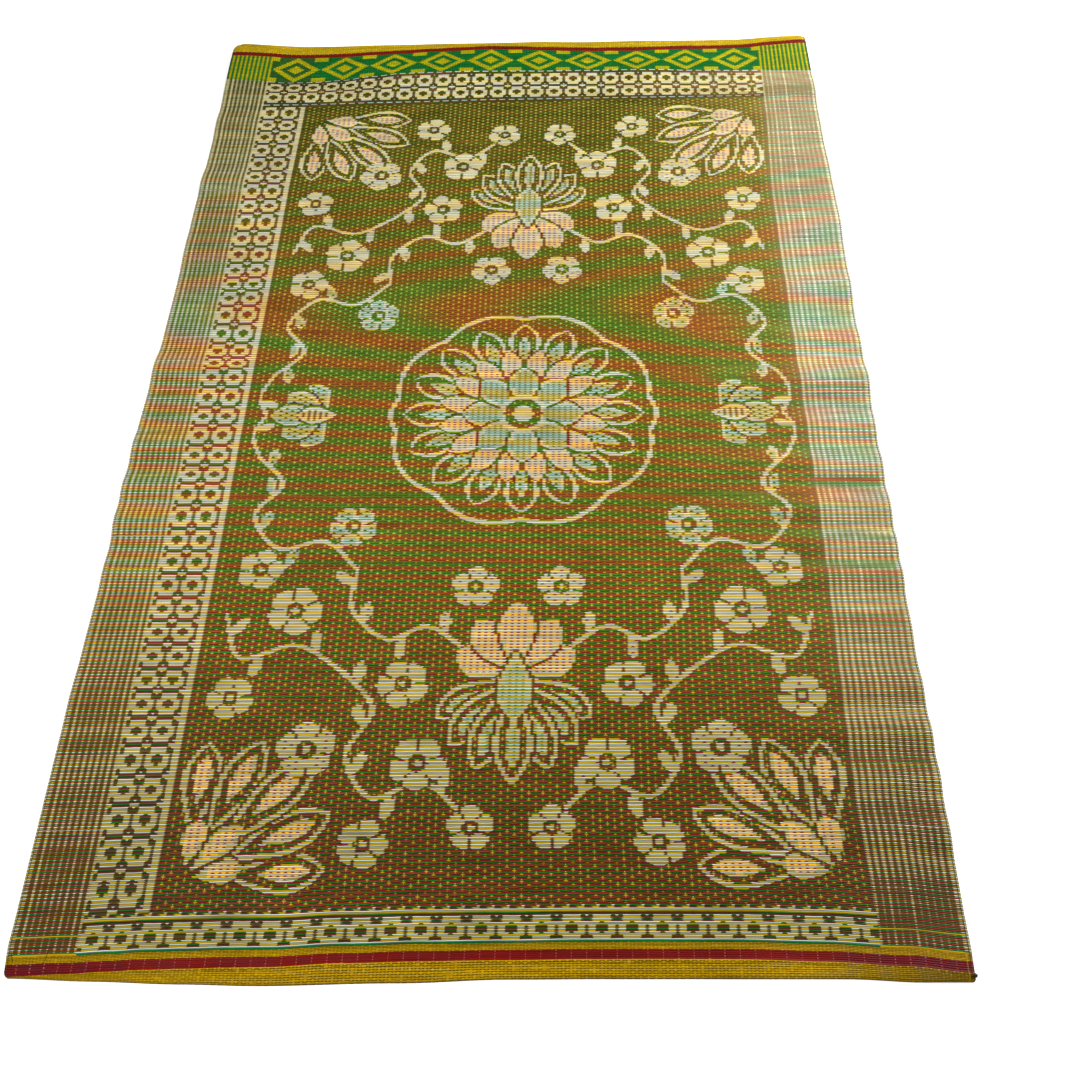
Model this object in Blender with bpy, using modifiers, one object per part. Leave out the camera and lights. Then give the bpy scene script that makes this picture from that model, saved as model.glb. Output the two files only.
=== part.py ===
"""Woven plastic floor mat, lying on the floor with its long sides a little rippled.

Metres, +Z up. X runs across the mat, Y along it, and the origin is on the floor under its middle.
The mat is one cloth: straws woven in one piece, with a doubled hem across each short end. It is
modelled as its underside, which touches the floor everywhere but under the ripples and the lifted
corners, and gets its thickness from there upwards.
"""
import math
from collections import namedtuple

import bmesh
import bpy

MAT_NAME = "floor_mat"
MAT_WIDTH = 1.200
MAT_LENGTH = 1.900
STRAW_THICKNESS = 0.0020
HEM_THICKNESS = 0.0038
EDGE_THICKNESS = 0.0012
EDGE_ROUNDING = 0.004
HEM_STEP = 0.003

# The long edges wander a little. A row is a place along the mat, and how far the left and the right
# edge stand outside the mat's nominal half width there.
SideEdge = namedtuple("SideEdge", "along left_out right_out")
SIDE_EDGE_ROWS = (
    SideEdge(-0.950, 0.0035, 0.0000),
    SideEdge(-0.900, 0.0075, 0.0015),
    SideEdge(-0.650, 0.0080, 0.0025),
    SideEdge(-0.500, 0.0065, 0.0010),
    SideEdge(-0.320, 0.0040, 0.0025),
    SideEdge(-0.230, 0.0065, 0.0020),
    SideEdge(-0.080, 0.0050, 0.0020),
    SideEdge(0.010, 0.0030, 0.0045),
    SideEdge(0.130, -0.0005, 0.0025),
    SideEdge(0.260, -0.0015, 0.0050),
    SideEdge(0.440, 0.0000, 0.0080),
    SideEdge(0.620, -0.0030, 0.0050),
    SideEdge(0.740, -0.0030, 0.0050),
    SideEdge(0.820, -0.0025, 0.0055),
    SideEdge(0.950, -0.0040, 0.0030),
)

# The short edges bow. A row is a place across the mat, and how far the near and the far edge stand
# outside the mat's nominal half length there.
EndEdge = namedtuple("EndEdge", "across near_out far_out")
END_EDGE_ROWS = (
    EndEdge(-0.600, -0.0010, 0.0000),
    EndEdge(-0.500, 0.0015, -0.0020),
    EndEdge(-0.380, 0.0045, -0.0020),
    EndEdge(-0.290, 0.0060, 0.0000),
    EndEdge(-0.110, 0.0020, 0.0020),
    EndEdge(0.030, -0.0030, 0.0010),
    EndEdge(0.150, -0.0040, -0.0040),
    EndEdge(0.280, -0.0045, -0.0010),
    EndEdge(0.450, -0.0050, 0.0010),
    EndEdge(0.540, -0.0010, 0.0030),
    EndEdge(0.600, -0.0010, 0.0030),
)

# How far a hem is turned in at places across the mat, measured from its folded edge.
Hem = namedtuple("Hem", "across near_depth far_depth")
HEM_ROWS = (
    Hem(-0.600, 0.006, 0.026),
    Hem(-0.450, 0.018, 0.031),
    Hem(-0.290, 0.024, 0.024),
    Hem(-0.010, 0.026, 0.013),
    Hem(0.300, 0.024, 0.013),
    Hem(0.600, 0.013, 0.015),
)

# Where the cloth stands off the floor. side is -1 for the left long edge and +1 for the right one.
# A ripple is highest at its edge and dies out at its reach; lean is how far its crest has moved
# along the mat by then.
Ripple = namedtuple("Ripple", "side along rise half_length reach lean")
RIPPLE_ROWS = (
    Ripple(1, 0.785, 0.0065, 0.052, 0.190, 0.010),
    Ripple(1, 0.560, 0.0030, 0.060, 0.260, -0.015),
    Ripple(1, 0.395, 0.0035, 0.055, 0.300, 0.010),
    Ripple(1, 0.232, 0.0050, 0.050, 0.380, 0.000),
    Ripple(1, 0.104, 0.0055, 0.042, 0.420, 0.012),
    Ripple(1, 0.016, 0.0085, 0.044, 0.480, -0.010),
    Ripple(1, -0.078, 0.0055, 0.036, 0.400, 0.006),
    Ripple(1, -0.158, 0.0060, 0.038, 0.440, 0.000),
    Ripple(1, -0.240, 0.0075, 0.040, 0.470, -0.012),
    Ripple(1, -0.308, 0.0050, 0.030, 0.360, 0.005),
    Ripple(1, -0.366, 0.0060, 0.030, 0.400, 0.000),
    Ripple(1, -0.452, 0.0035, 0.040, 0.300, 0.010),
    Ripple(1, -0.546, 0.0055, 0.036, 0.360, -0.006),
    Ripple(1, -0.618, 0.0050, 0.030, 0.330, 0.000),
    Ripple(1, -0.682, 0.0045, 0.030, 0.300, 0.004),
    Ripple(1, -0.760, 0.0040, 0.036, 0.260, 0.000),
    Ripple(-1, 0.700, 0.0040, 0.050, 0.170, 0.010),
    Ripple(-1, 0.528, 0.0050, 0.048, 0.210, -0.008),
    Ripple(-1, 0.340, 0.0030, 0.060, 0.220, 0.000),
    Ripple(-1, 0.058, 0.0060, 0.046, 0.240, -0.008),
    Ripple(-1, -0.112, 0.0055, 0.040, 0.230, 0.006),
    Ripple(-1, -0.192, 0.0045, 0.034, 0.200, 0.000),
    Ripple(-1, -0.262, 0.0050, 0.036, 0.220, 0.008),
    Ripple(-1, -0.350, 0.0035, 0.044, 0.200, 0.000),
    Ripple(-1, -0.560, 0.0030, 0.060, 0.190, 0.010),
)

# Corners that stand up, or a short edge that does between them.
Lift = namedtuple("Lift", "across along rise half_width half_length")
LIFT_ROWS = (
    Lift(-0.600, 0.950, 0.0090, 0.170, 0.210),
    Lift(0.600, 0.950, 0.0060, 0.150, 0.110),
    Lift(0.160, 0.950, 0.0030, 0.260, 0.090),
    Lift(-0.600, -0.950, 0.0030, 0.110, 0.080),
    Lift(0.600, -0.950, 0.0040, 0.130, 0.090),
)

Corner = namedtuple("Corner", "side end radius")
CORNER_ROWS = (
    Corner(-1, 1, 0.022),
    Corner(1, 1, 0.007),
    Corner(-1, -1, 0.010),
    Corner(1, -1, 0.006),
)

# Rows of the cage near a short end and columns near a long edge, by distance from that edge. The
# stretch between them is even.
END_STATIONS = (0.0, 0.0015, 0.004, 0.009, 0.014, 0.022)
SIDE_STATIONS = (0.0, 0.002, 0.006, 0.022, 0.055, 0.100, 0.150, 0.210, 0.290)
BODY_ROWS = 112
BODY_COLUMNS = 5

STRAW_COLOUR = (0.43, 0.35, 0.12, 1.0)
STRAW_ROUGHNESS = 0.42


def remove_everything():
    for item in list(bpy.data.objects):
        bpy.data.objects.remove(item, do_unlink=True)


def eased(rows, where, column):
    """Read a named column of a table at a place between its rows, easing from row to row."""
    if where <= rows[0][0]:
        return getattr(rows[0], column)
    for low, high in zip(rows, rows[1:]):
        if where <= high[0]:
            part = (where - low[0]) / (high[0] - low[0])
            ease = part * part * (3 - 2 * part)
            return getattr(low, column) * (1 - ease) + getattr(high, column) * ease
    return getattr(rows[-1], column)


def bump(distance, half):
    """A smooth hump, 1 in its middle and exactly 0 from half a width outwards."""
    part = distance / half
    if abs(part) >= 1:
        return 0.0
    return (1 - part * part) ** 2


def lift_off_floor(x, y):
    """Height of the underside over the floor."""
    height = 0.0
    for side, along, rise, half_length, reach, lean in RIPPLE_ROWS:
        from_edge = MAT_WIDTH / 2 - side * x
        inward = max(0.0, from_edge) / reach
        if inward < 1:
            fade = 1 - inward * inward * (3 - 2 * inward)
            height += rise * fade * bump(y - along - lean * inward, half_length)
    for across, along, rise, half_width, half_length in LIFT_ROWS:
        height += rise * bump(x - across, half_width) * bump(y - along, half_length)
    return height


def corner_inset(from_end, radius):
    """How far a rounded corner draws the long edge in, at a distance from the short end."""
    if from_end >= radius:
        return 0.0
    return radius - math.sqrt(radius * radius - (radius - from_end) ** 2)


def station_list(near_edge, middle, span):
    """Places from edge to edge: close together at both edges and even between."""
    first = near_edge[-1]
    step = (span - 2 * first) / middle
    between = [first + step * index for index in range(1, middle)]
    return [*near_edge, *between, *(span - place for place in reversed(near_edge))]


def place_on_mat(from_left, from_near):
    """Where a point of the flat rectangle lies on the real, uneven outline."""
    along = from_near - MAT_LENGTH / 2
    left = -MAT_WIDTH / 2 - eased(SIDE_EDGE_ROWS, along, "left_out")
    right = MAT_WIDTH / 2 + eased(SIDE_EDGE_ROWS, along, "right_out")
    for side, end, radius in CORNER_ROWS:
        from_end = MAT_LENGTH / 2 - end * along
        inset = corner_inset(from_end, radius)
        if side < 0:
            left += inset
        else:
            right -= inset
    x = left + (right - left) * from_left / MAT_WIDTH
    near_out = eased(END_EDGE_ROWS, x, "near_out")
    far_out = eased(END_EDGE_ROWS, x, "far_out")
    part = from_near / MAT_LENGTH
    y = along - near_out * (1 - part) + far_out * part
    return x, y


def thickness_at(from_left, from_near):
    """Straw thickness, doubled in the hems and rounded off at every edge."""
    x = from_left - MAT_WIDTH / 2
    near_depth = eased(HEM_ROWS, x, "near_depth")
    far_depth = eased(HEM_ROWS, x, "far_depth")
    from_far = MAT_LENGTH - from_near
    into_hem = max(near_depth - from_near, far_depth - from_far)
    step = min(1.0, max(0.0, 0.5 + into_hem / HEM_STEP))
    full = STRAW_THICKNESS + (HEM_THICKNESS - STRAW_THICKNESS) * step
    from_edge = min(from_left, MAT_WIDTH - from_left, from_near, from_far)
    part = min(1.0, from_edge / EDGE_ROUNDING)
    return EDGE_THICKNESS + (full - EDGE_THICKNESS) * math.sqrt(part * (2 - part))


def make_straw_material():
    material = bpy.data.materials.new("woven_straw")
    material.use_nodes = True
    shader = material.node_tree.nodes["Principled BSDF"]
    shader.inputs["Base Color"].default_value = STRAW_COLOUR
    shader.inputs["Roughness"].default_value = STRAW_ROUGHNESS
    shader.inputs["Metallic"].default_value = 0.0
    material.diffuse_color = STRAW_COLOUR
    return material


def make_cage():
    """The underside as a grid, and for each of its points the thickness of the mat there."""
    lefts = station_list(SIDE_STATIONS, BODY_COLUMNS, MAT_WIDTH)
    nears = station_list(END_STATIONS, BODY_ROWS, MAT_LENGTH)
    cage = bmesh.new()
    bmesh.ops.create_grid(
        cage, x_segments=len(lefts) - 1, y_segments=len(nears) - 1, size=1.0
    )
    cage.verts.ensure_lookup_table()
    thickness = []
    for point in cage.verts:
        column = round((point.co.x + 1) / 2 * (len(lefts) - 1))
        row = round((point.co.y + 1) / 2 * (len(nears) - 1))
        x, y = place_on_mat(lefts[column], nears[row])
        point.co = (x, y, lift_off_floor(x, y))
        thickness.append(thickness_at(lefts[column], nears[row]))
    return cage, thickness


def centre_on_origin(mesh):
    """The wandering edges leave the outline a little off the middle; the origin goes under it."""
    for axis in (0, 1):
        places = [point.co[axis] for point in mesh.vertices]
        middle = (min(places) + max(places)) / 2
        for point in mesh.vertices:
            point.co[axis] -= middle


def make_mat(collection):
    cage, thickness = make_cage()
    mesh = bpy.data.meshes.new(MAT_NAME)
    cage.to_mesh(mesh)
    cage.free()
    centre_on_origin(mesh)
    mat = bpy.data.objects.new(MAT_NAME, mesh)
    collection.objects.link(mat)
    mat.data.materials.append(make_straw_material())
    mesh.shade_smooth()
    share = mat.vertex_groups.new(name="thickness")
    for index, value in enumerate(thickness):
        share.add([index], value / HEM_THICKNESS, "REPLACE")
    shell = mat.modifiers.new("thickness", "SOLIDIFY")
    shell.thickness = HEM_THICKNESS
    shell.offset = 1.0
    shell.vertex_group = share.name
    shell.use_even_offset = False
    return mat


def main():
    remove_everything()
    collection = bpy.data.collections.new("plastic_floor_mat")
    bpy.context.scene.collection.children.link(collection)
    make_mat(collection)


main()
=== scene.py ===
# %% [markdown]
# # A woven plastic floor mat
# The mat is one cloth, 1.2 m by 1.9 m, woven from thin plastic straws. It lies on a pale floor with
# its long sides a little rippled, and a short hem is folded over and stitched at each end. The packed
# model gives its outline and its ripples. This lesson dresses that shape in straws: each straw gets
# its own relief in the mesh, and a small loom card says which colour of straw lies on top where.

# %% Load the packed model
import math
from collections import namedtuple
from types import SimpleNamespace

import bpy
import numpy as np
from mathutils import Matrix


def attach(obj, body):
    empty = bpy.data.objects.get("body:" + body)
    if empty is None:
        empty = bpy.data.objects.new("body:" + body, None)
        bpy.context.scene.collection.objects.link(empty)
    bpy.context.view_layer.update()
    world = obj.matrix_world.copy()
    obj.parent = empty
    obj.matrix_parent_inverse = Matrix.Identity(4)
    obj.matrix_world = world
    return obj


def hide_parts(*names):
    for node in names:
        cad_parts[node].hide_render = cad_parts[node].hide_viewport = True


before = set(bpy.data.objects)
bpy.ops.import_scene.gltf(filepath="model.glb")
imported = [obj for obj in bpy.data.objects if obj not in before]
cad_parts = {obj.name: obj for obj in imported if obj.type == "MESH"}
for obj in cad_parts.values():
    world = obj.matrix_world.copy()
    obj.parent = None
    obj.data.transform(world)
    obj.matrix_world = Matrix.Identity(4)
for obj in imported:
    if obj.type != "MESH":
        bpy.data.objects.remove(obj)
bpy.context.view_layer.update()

# %% [markdown]
# ## Outline and ripples
# The edges of a real mat wander by a few millimetres, and its sides stand off the floor in small
# ripples. Both could be sculpted by hand, but then the straws would have to be fitted to that shape.
# Tables of places and sizes are easier to read, and numpy looks them up for a whole grid at once.

# %% A table reader that eases from row to row
MM = 0.001


def eased(places, values, where):
    """Values of a table at many places, easing from one row to the next."""
    places, values = np.asarray(places, float), np.asarray(values, float)
    row = np.clip(np.searchsorted(places, where, side="right") - 1, 0, len(places) - 2)
    part = np.clip((where - places[row]) / (places[row + 1] - places[row]), 0.0, 1.0)
    ease = part * part * (3 - 2 * part)
    return values[row] * (1 - ease) + values[row + 1] * ease


def eased_mm(places, values, where):
    """The same for a table in millimetres; where and the result are in metres."""
    return eased(np.array(places) * MM, np.array(values) * MM, where)


print("half way between 1 and 3 is", float(eased([0, 1], [1, 3], np.array(0.5))))

# %% How far each edge stands outside the nominal rectangle
WIDTH, LENGTH = 1.200, 1.900
SIDE_PLACES = (-950, -900, -650, -500, -320, -230, -80, 10, 130, 260, 440, 620, 740, 820, 950)
LEFT_OUT = (3.5, 7.5, 8, 6.5, 4, 6.5, 5, 3, -0.5, -1.5, 0, -3, -3, -2.5, -4)
RIGHT_OUT = (0, 1.5, 2.5, 1, 2.5, 2, 2, 4.5, 2.5, 5, 8, 5, 5, 5.5, 3)
END_PLACES = (-600, -500, -380, -290, -110, 30, 150, 280, 450, 540, 600)
NEAR_OUT = (-1, 1.5, 4.5, 6, 2, -3, -4, -4.5, -5, -1, -1)
FAR_OUT = (0, -2, -2, 0, 2, 1, -4, -1, 1, 3, 3)
CORNERS = {(-1, 1): 0.022, (1, 1): 0.007, (-1, -1): 0.010, (1, -1): 0.006}


def corner_inset(y, side):
    """How far the rounded corners draw a long edge in."""
    inset = np.zeros_like(y)
    for end in (-1, 1):
        radius = CORNERS[side, end]
        into = np.clip(radius - (LENGTH / 2 - end * y), 0.0, radius)
        inset += radius - np.sqrt(radius * radius - into * into)
    return inset


def left_edge(y):
    return -WIDTH / 2 - eased_mm(SIDE_PLACES, LEFT_OUT, y) + corner_inset(y, -1)


def right_edge(y):
    return WIDTH / 2 + eased_mm(SIDE_PLACES, RIGHT_OUT, y) - corner_inset(y, 1)


def near_edge(x):
    return -LENGTH / 2 - eased_mm(END_PLACES, NEAR_OUT, x)


def far_edge(x):
    return LENGTH / 2 + eased_mm(END_PLACES, FAR_OUT, x)


across = np.linspace(-WIDTH / 2, WIDTH / 2, 400)
low_y, high_y = near_edge(across).min(), far_edge(across).max()
MIDDLE_Y = (low_y + high_y) / 2
print("outline from", round(low_y, 4), "to", round(high_y, 4), "m, so its middle is at", MIDDLE_Y)

# %% Ripples along the sides, and corners that stand up
Ripple = namedtuple("Ripple", "side along rise half_length reach lean")
RIPPLES = [
    Ripple(side, *(number * MM for number in row))
    for side, *row in (
        (1, 785, 6.5, 52, 190, 10),
        (1, 560, 3.0, 60, 260, -15),
        (1, 395, 3.5, 55, 300, 10),
        (1, 232, 5.0, 50, 380, 0),
        (1, 104, 5.5, 42, 420, 12),
        (1, 16, 8.5, 44, 480, -10),
        (1, -78, 5.5, 36, 400, 6),
        (1, -158, 6.0, 38, 440, 0),
        (1, -240, 7.5, 40, 470, -12),
        (1, -308, 5.0, 30, 360, 5),
        (1, -366, 6.0, 30, 400, 0),
        (1, -452, 3.5, 40, 300, 10),
        (1, -546, 5.5, 36, 360, -6),
        (1, -618, 5.0, 30, 330, 0),
        (1, -682, 4.5, 30, 300, 4),
        (1, -760, 4.0, 36, 260, 0),
        (-1, 700, 4.0, 50, 170, 10),
        (-1, 528, 5.0, 48, 210, -8),
        (-1, 340, 3.0, 60, 220, 0),
        (-1, 58, 6.0, 46, 240, -8),
        (-1, -112, 5.5, 40, 230, 6),
        (-1, -192, 4.5, 34, 200, 0),
        (-1, -262, 5.0, 36, 220, 8),
        (-1, -350, 3.5, 44, 200, 0),
        (-1, -560, 3.0, 60, 190, 10),
    )
]
Lift = namedtuple("Lift", "across along rise half_width half_length")
LIFTS = (
    Lift(-0.600, 0.950, 0.0090, 0.170, 0.210),
    Lift(0.600, 0.950, 0.0060, 0.150, 0.110),
    Lift(0.160, 0.950, 0.0030, 0.260, 0.090),
    Lift(-0.600, -0.950, 0.0030, 0.110, 0.080),
    Lift(0.600, -0.950, 0.0040, 0.130, 0.090),
)


def hump(distance, half):
    """A smooth hump, 1 in its middle and 0 from half a width outwards."""
    part = np.clip(np.abs(distance / half), 0.0, 1.0)
    return (1 - part * part) ** 2


def underside(x, y):
    """Height of the underside over the floor."""
    height = np.zeros(np.broadcast(x, y).shape)
    for ripple in RIPPLES:
        inward = np.clip((WIDTH / 2 - ripple.side * x) / ripple.reach, 0.0, 1.0)
        fade = 1 - inward * inward * (3 - 2 * inward)
        crest = ripple.along + ripple.lean * inward
        height = height + ripple.rise * fade * hump(y - crest, ripple.half_length)
    for lift in LIFTS:
        beside = hump(x - lift.across, lift.half_width)
        height = height + lift.rise * beside * hump(y - lift.along, lift.half_length)
    return height


right_side = underside(WIDTH / 2, np.linspace(-LENGTH / 2, LENGTH / 2, 900))
print("highest ripple:", round(float(right_side.max()), 4), "m")

# %% [markdown]
# ## Weft lines
# A straw mat has two sets of threads. The warps are thin strings that run along the mat, 9.5 mm
# apart, and the wefts are the straws that run across. The straws lie in groups of two rows, so a
# place on the mat is given as u, counted in warps, and v, counted in groups. The wefts of a real
# mat are beaten up unevenly, so a few measured lines say where some v lie, and the rest follow.

# %% The straws are counted from the near edge
HEM_GROUPS, RED_GROUPS, YELLOW_GROUPS, NEAR_BORDER_GROUPS = 8, 5, 5, 11
FAR_BORDER_GROUPS, GREEN_GROUPS, FAR_RED_GROUPS, FAR_HEM_GROUPS = 22, 31, 4, 8
PITCH_PLACES = (-860, -820, -750, -600, -450, -300, -100, 100, 300, 450, 580, 680, 760)
PITCHES = (4.7, 4.7, 4.8, 5.0, 4.9, 4.45, 4.79, 4.97, 4.57, 4.87, 4.66, 4.38, 4.4)
FIELD_NEAR, FIELD_FAR = -0.8557, 0.7573

steps = np.linspace(FIELD_NEAR, FIELD_FAR, 2001)
pitch_here = eased_mm(PITCH_PLACES, PITCHES, steps[1:])
counted = np.concatenate([[0.0], np.cumsum(np.diff(steps) / pitch_here)])
FIELD_GROUPS = round(float(counted[-1]))
counted *= FIELD_GROUPS / counted[-1]

V_RED = HEM_GROUPS
V_YELLOW = V_RED + RED_GROUPS
V_BORDER = V_YELLOW + YELLOW_GROUPS
V_FIELD = V_BORDER + NEAR_BORDER_GROUPS
V_FAR_BORDER = V_FIELD + FIELD_GROUPS
V_GREEN = V_FAR_BORDER + FAR_BORDER_GROUPS
V_FAR_RED = V_GREEN + GREEN_GROUPS
V_FAR_HEM = V_FAR_RED + FAR_RED_GROUPS
GROUPS = V_FAR_HEM + FAR_HEM_GROUPS
print(FIELD_GROUPS, "groups of straws in the field,", GROUPS, "in all")

# %% Where the measured weft lines lie, in millimetres
NEAR_X = (
    [-600, -530, -480, -430, -380, -330, -280, -180]
    + [-80, 20, 120, 220, 320, 420, 520, 600]
)
RED_TOP = (
    [-932.5, -929.7, -926.9, -924.3, -922.9, -921.5, -921.0, -916.1]
    + [-913.3, -911.7, -910.1, -909.5, -909.5, -911.6, -916.4, -924.0]
)
FAR_X = (
    [-600, -530, -475, -416, -357, -297, -238, -179, -120, -61, 0]
    + [58, 116, 175, 234, 293, 351, 410, 469, 526, 600]
)
FAR_RED_TOP = (
    [921, 920, 918, 919, 921, 926, 929.5, 934, 937, 940, 936]
    + [931, 927, 925, 925, 927.5, 930, 930, 931.5, 935.5, 938]
)
GREEN_END = (
    [838, 832, 828, 829, 834.5, 846, 855, 857, 858.8, 858.5, 857.5]
    + [856, 856.6, 855.5, 857, 856, 852, 850, 848.4, 847, 845.5]
)
RING_X = (-600, -440, -238, -33, 234, 410, 505, 600)
RING_LINE = (792, 790, 797, 798.6, 797, 793, 790.5, 789)
GROUND_END = (750, 749.5, 753, 757.3, 759, 760, 760, 760)
RED_X = (-600, -450, -200, 300, 450, 600)
RED_TALL = (14.5, 13, 12, 12, 12.6, 14)
MEAN_RED_TOP, YELLOW_TALL, FAR_RED_TALL = -0.9117, 0.0088, 0.0093
SETTLED_LOW, SETTLED_HIGH, LINE_STEP = -0.45, 0.45, 0.05
print(len(NEAR_X), "places on the near red line,", len(FAR_X), "on the far one")


# %% The v of each measured line
def red_height(x):
    """How tall the near red band is; it gets taller towards the corners."""
    return eased_mm(RED_X, RED_TALL, x)


def weft_lines(x):
    """The v of each measured line, and how far along the mat it lies at x."""
    red = eased_mm(NEAR_X, RED_TOP, x)
    bow = red - MEAN_RED_TOP
    far_red = eased_mm(FAR_X, FAR_RED_TOP, x)
    green = eased_mm(FAR_X, GREEN_END, x)
    rings = eased_mm(RING_X, RING_LINE, x)
    ground = eased_mm(RING_X, GROUND_END, x)
    lines = [
        (0, near_edge(x)),
        (V_RED, red - red_height(x)),
        (V_YELLOW, red),
        (V_BORDER, red + YELLOW_TALL),
        (V_FIELD, FIELD_NEAR + 0.85 * bow),
    ]
    for place in np.arange(-0.80, 0.71, LINE_STEP):
        v = V_FIELD + float(np.interp(place, steps, counted))
        near_share = 0.85 * max(0.0, (SETTLED_LOW - place) / 0.4057) ** 1.3
        far_share = max(0.0, (place - SETTLED_HIGH) / 0.3073) ** 1.3
        lines.append((v, place + near_share * bow + far_share * (ground - FIELD_FAR)))
    lines += [
        (V_FAR_BORDER, ground),
        (V_FAR_BORDER + 9.5, rings),
        (V_GREEN, green),
        (V_FAR_RED, far_red - FAR_RED_TALL),
        (V_FAR_HEM, far_red),
        (GROUPS, far_edge(x)),
    ]
    return lines


def place_along(x, v):
    """How far along the mat the weft number v lies at x; x and v are arrays of one shape."""
    lines = weft_lines(x)
    y = np.array(lines[0][1], float)
    for (low_v, low_y), (high_v, high_y) in zip(lines, lines[1:]):
        part = np.clip((v - low_v) / (high_v - low_v), 0.0, 1.0)
        y = np.where(v >= low_v, low_y + (high_y - low_y) * part, y)
    return y


middle_v = np.arange(0.0, GROUPS + 0.5, 0.5)
MIDDLE_LINE = place_along(np.zeros_like(middle_v), middle_v)
field_pitch = np.diff(MIDDLE_LINE[2 * V_FIELD : 2 * V_FAR_BORDER]).mean()
print("straw pitch in the field:", round(float(field_pitch / MM), 3), "mm")

# %% [markdown]
# ## Warp lines
# 128 warps lie side by side. They make a striped margin at each side, two columns of rings, one cream
# stripe and the ground. Four numbers say which warp each of these starts at, and tables say where
# its border lies across the mat, because the borders drift by a few millimetres along it.

# %% Where the warps lie
WARPS = 128
U_RINGS, U_CREAM, U_FIELD, U_MARGIN = 10, 18, 19, 116
BORDER_PLACES = (-950, -848, -715, -231, 457, 740, 950)
FIELD_LEFT = (-437, -435.7, -435, -431.5, -427, -423.2, -421)
FIELD_RIGHT = (490, 491, 486.5, 492.5, 490, 500, 503)
RING_START = (-518.2, -518, -517.8, -517.4, -513.8, -510, -508)


def place_across(u, y):
    """How far across the mat the warp number u lies at y."""
    left, right = left_edge(y), right_edge(y)
    rings = eased_mm(BORDER_PLACES, RING_START, y)
    field = eased_mm(BORDER_PLACES, FIELD_LEFT, y)
    margin = eased_mm(BORDER_PLACES, FIELD_RIGHT, y)
    stops = ((0, left), (U_RINGS, rings), (U_FIELD, field), (U_MARGIN, margin), (WARPS, right))
    x = np.array(left, float)
    for (low_u, low_x), (high_u, high_x) in zip(stops, stops[1:]):
        part = np.clip((u - low_u) / (high_u - low_u), 0.0, 1.0)
        x = np.where(u >= low_u, low_x + (high_x - low_x) * part, x)
    return x


def on_mat(u, v):
    """Place of (u, v) on the mat, before it is moved over the origin."""
    y = np.interp(v, middle_v, MIDDLE_LINE)
    x = place_across(u, y)
    y = place_along(x, v)
    return place_across(u, y), y


def over_origin(x, y, z):
    """Points of a mesh; the packed model has its origin under the middle of the mat."""
    return np.stack([x, y - MIDDLE_Y, z], axis=-1)


corner_x, corner_y = on_mat(np.array([0.0, float(WARPS)]), np.array([0.0, float(GROUPS)]))
print("near left and far right corner:", corner_x.round(4), corner_y.round(4))

# %% [markdown]
# ## The loom card
# A jacquard loom reads a card: for every straw and every half warp it says which straw comes to the
# top. The card here is an array of shares, with two rows for each group and two columns for each
# warp: 1 where the light straw lies on top, 0 where the dark one does, and between them where the
# light one covers a part. A second array holds the kind of each group, which names its four straws.
# Repeats such as the rings are small charts, and the ornament of the field is drawn with formulas,
# so it can be scaled or changed without redrawing anything.

# %% The straw colours, by letter
Straw = namedtuple("Straw", "name red green blue")
STRAWS = {
    "G": Straw("green", 18, 118, 38),
    "W": Straw("white", 208, 226, 216),
    "R": Straw("red", 124, 28, 20),
    "Y": Straw("yellow", 176, 144, 0),
    "A": Straw("aqua", 186, 240, 228),
    "O": Straw("orange", 236, 168, 20),
    "P": Straw("rust", 196, 96, 40),
    "C": Straw("cream", 240, 240, 216),
    "H": Straw("hem yellow", 184, 144, 0),
    "B": Straw("band red", 124, 16, 16),
    "E": Straw("band green", 4, 106, 40),
    "L": Straw("lime yellow", 178, 170, 10),
    "F": Straw("far yellow", 192, 160, 20),
    "N": Straw("line green", 0, 100, 38),
}
Kind = namedtuple("Kind", "name low_light low_dark high_light high_dark")
KINDS = (
    Kind("plain", "Y", "R", "W", "G"),
    Kind("aqua line", "Y", "R", "A", "G"),
    Kind("green line", "N", "H", "W", "N"),
    Kind("peach", "O", "R", "C", "P"),
    Kind("near hem", "H", "H", "H", "H"),
    Kind("red band", "B", "B", "B", "B"),
    Kind("green band", "L", "E", "L", "E"),
    Kind("far hem", "F", "F", "F", "F"),
)
PLAIN, AQUA_LINE, GREEN_LINE, PEACH, NEAR_HEM, RED_BAND, GREEN_BAND, FAR_HEM = range(len(KINDS))
ROWS, HALVES = 2 * GROUPS, 2 * WARPS
print(len(STRAWS), "straw colours;", ROWS, "by", HALVES, "places on the card")

# %% The plain ground: only dark straws on top
row_of = np.arange(ROWS)[:, None] * np.ones((1, HALVES), int)
half_of = np.ones((ROWS, 1), int) * np.arange(HALVES)[None, :]
upper = row_of % 2 == 1
light = np.zeros((ROWS, HALVES))
kind = np.full((GROUPS, WARPS), PLAIN)
cover = np.ones((ROWS, HALVES))
print("an empty card of", light.shape)

# %% [markdown]
# ### Ring columns and borders
# Rings are a common repeat of four warps: two caps of light straws over and under a dark middle,
# and a small lozenge where four rings meet. In the near border a whole yellow straw runs over them.
# A chart is read from the far end to the near one, and each of its lines has the upper row of a
# group and then the lower one. # is light, a dot is dark, = is a half share and - is a quarter.

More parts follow.
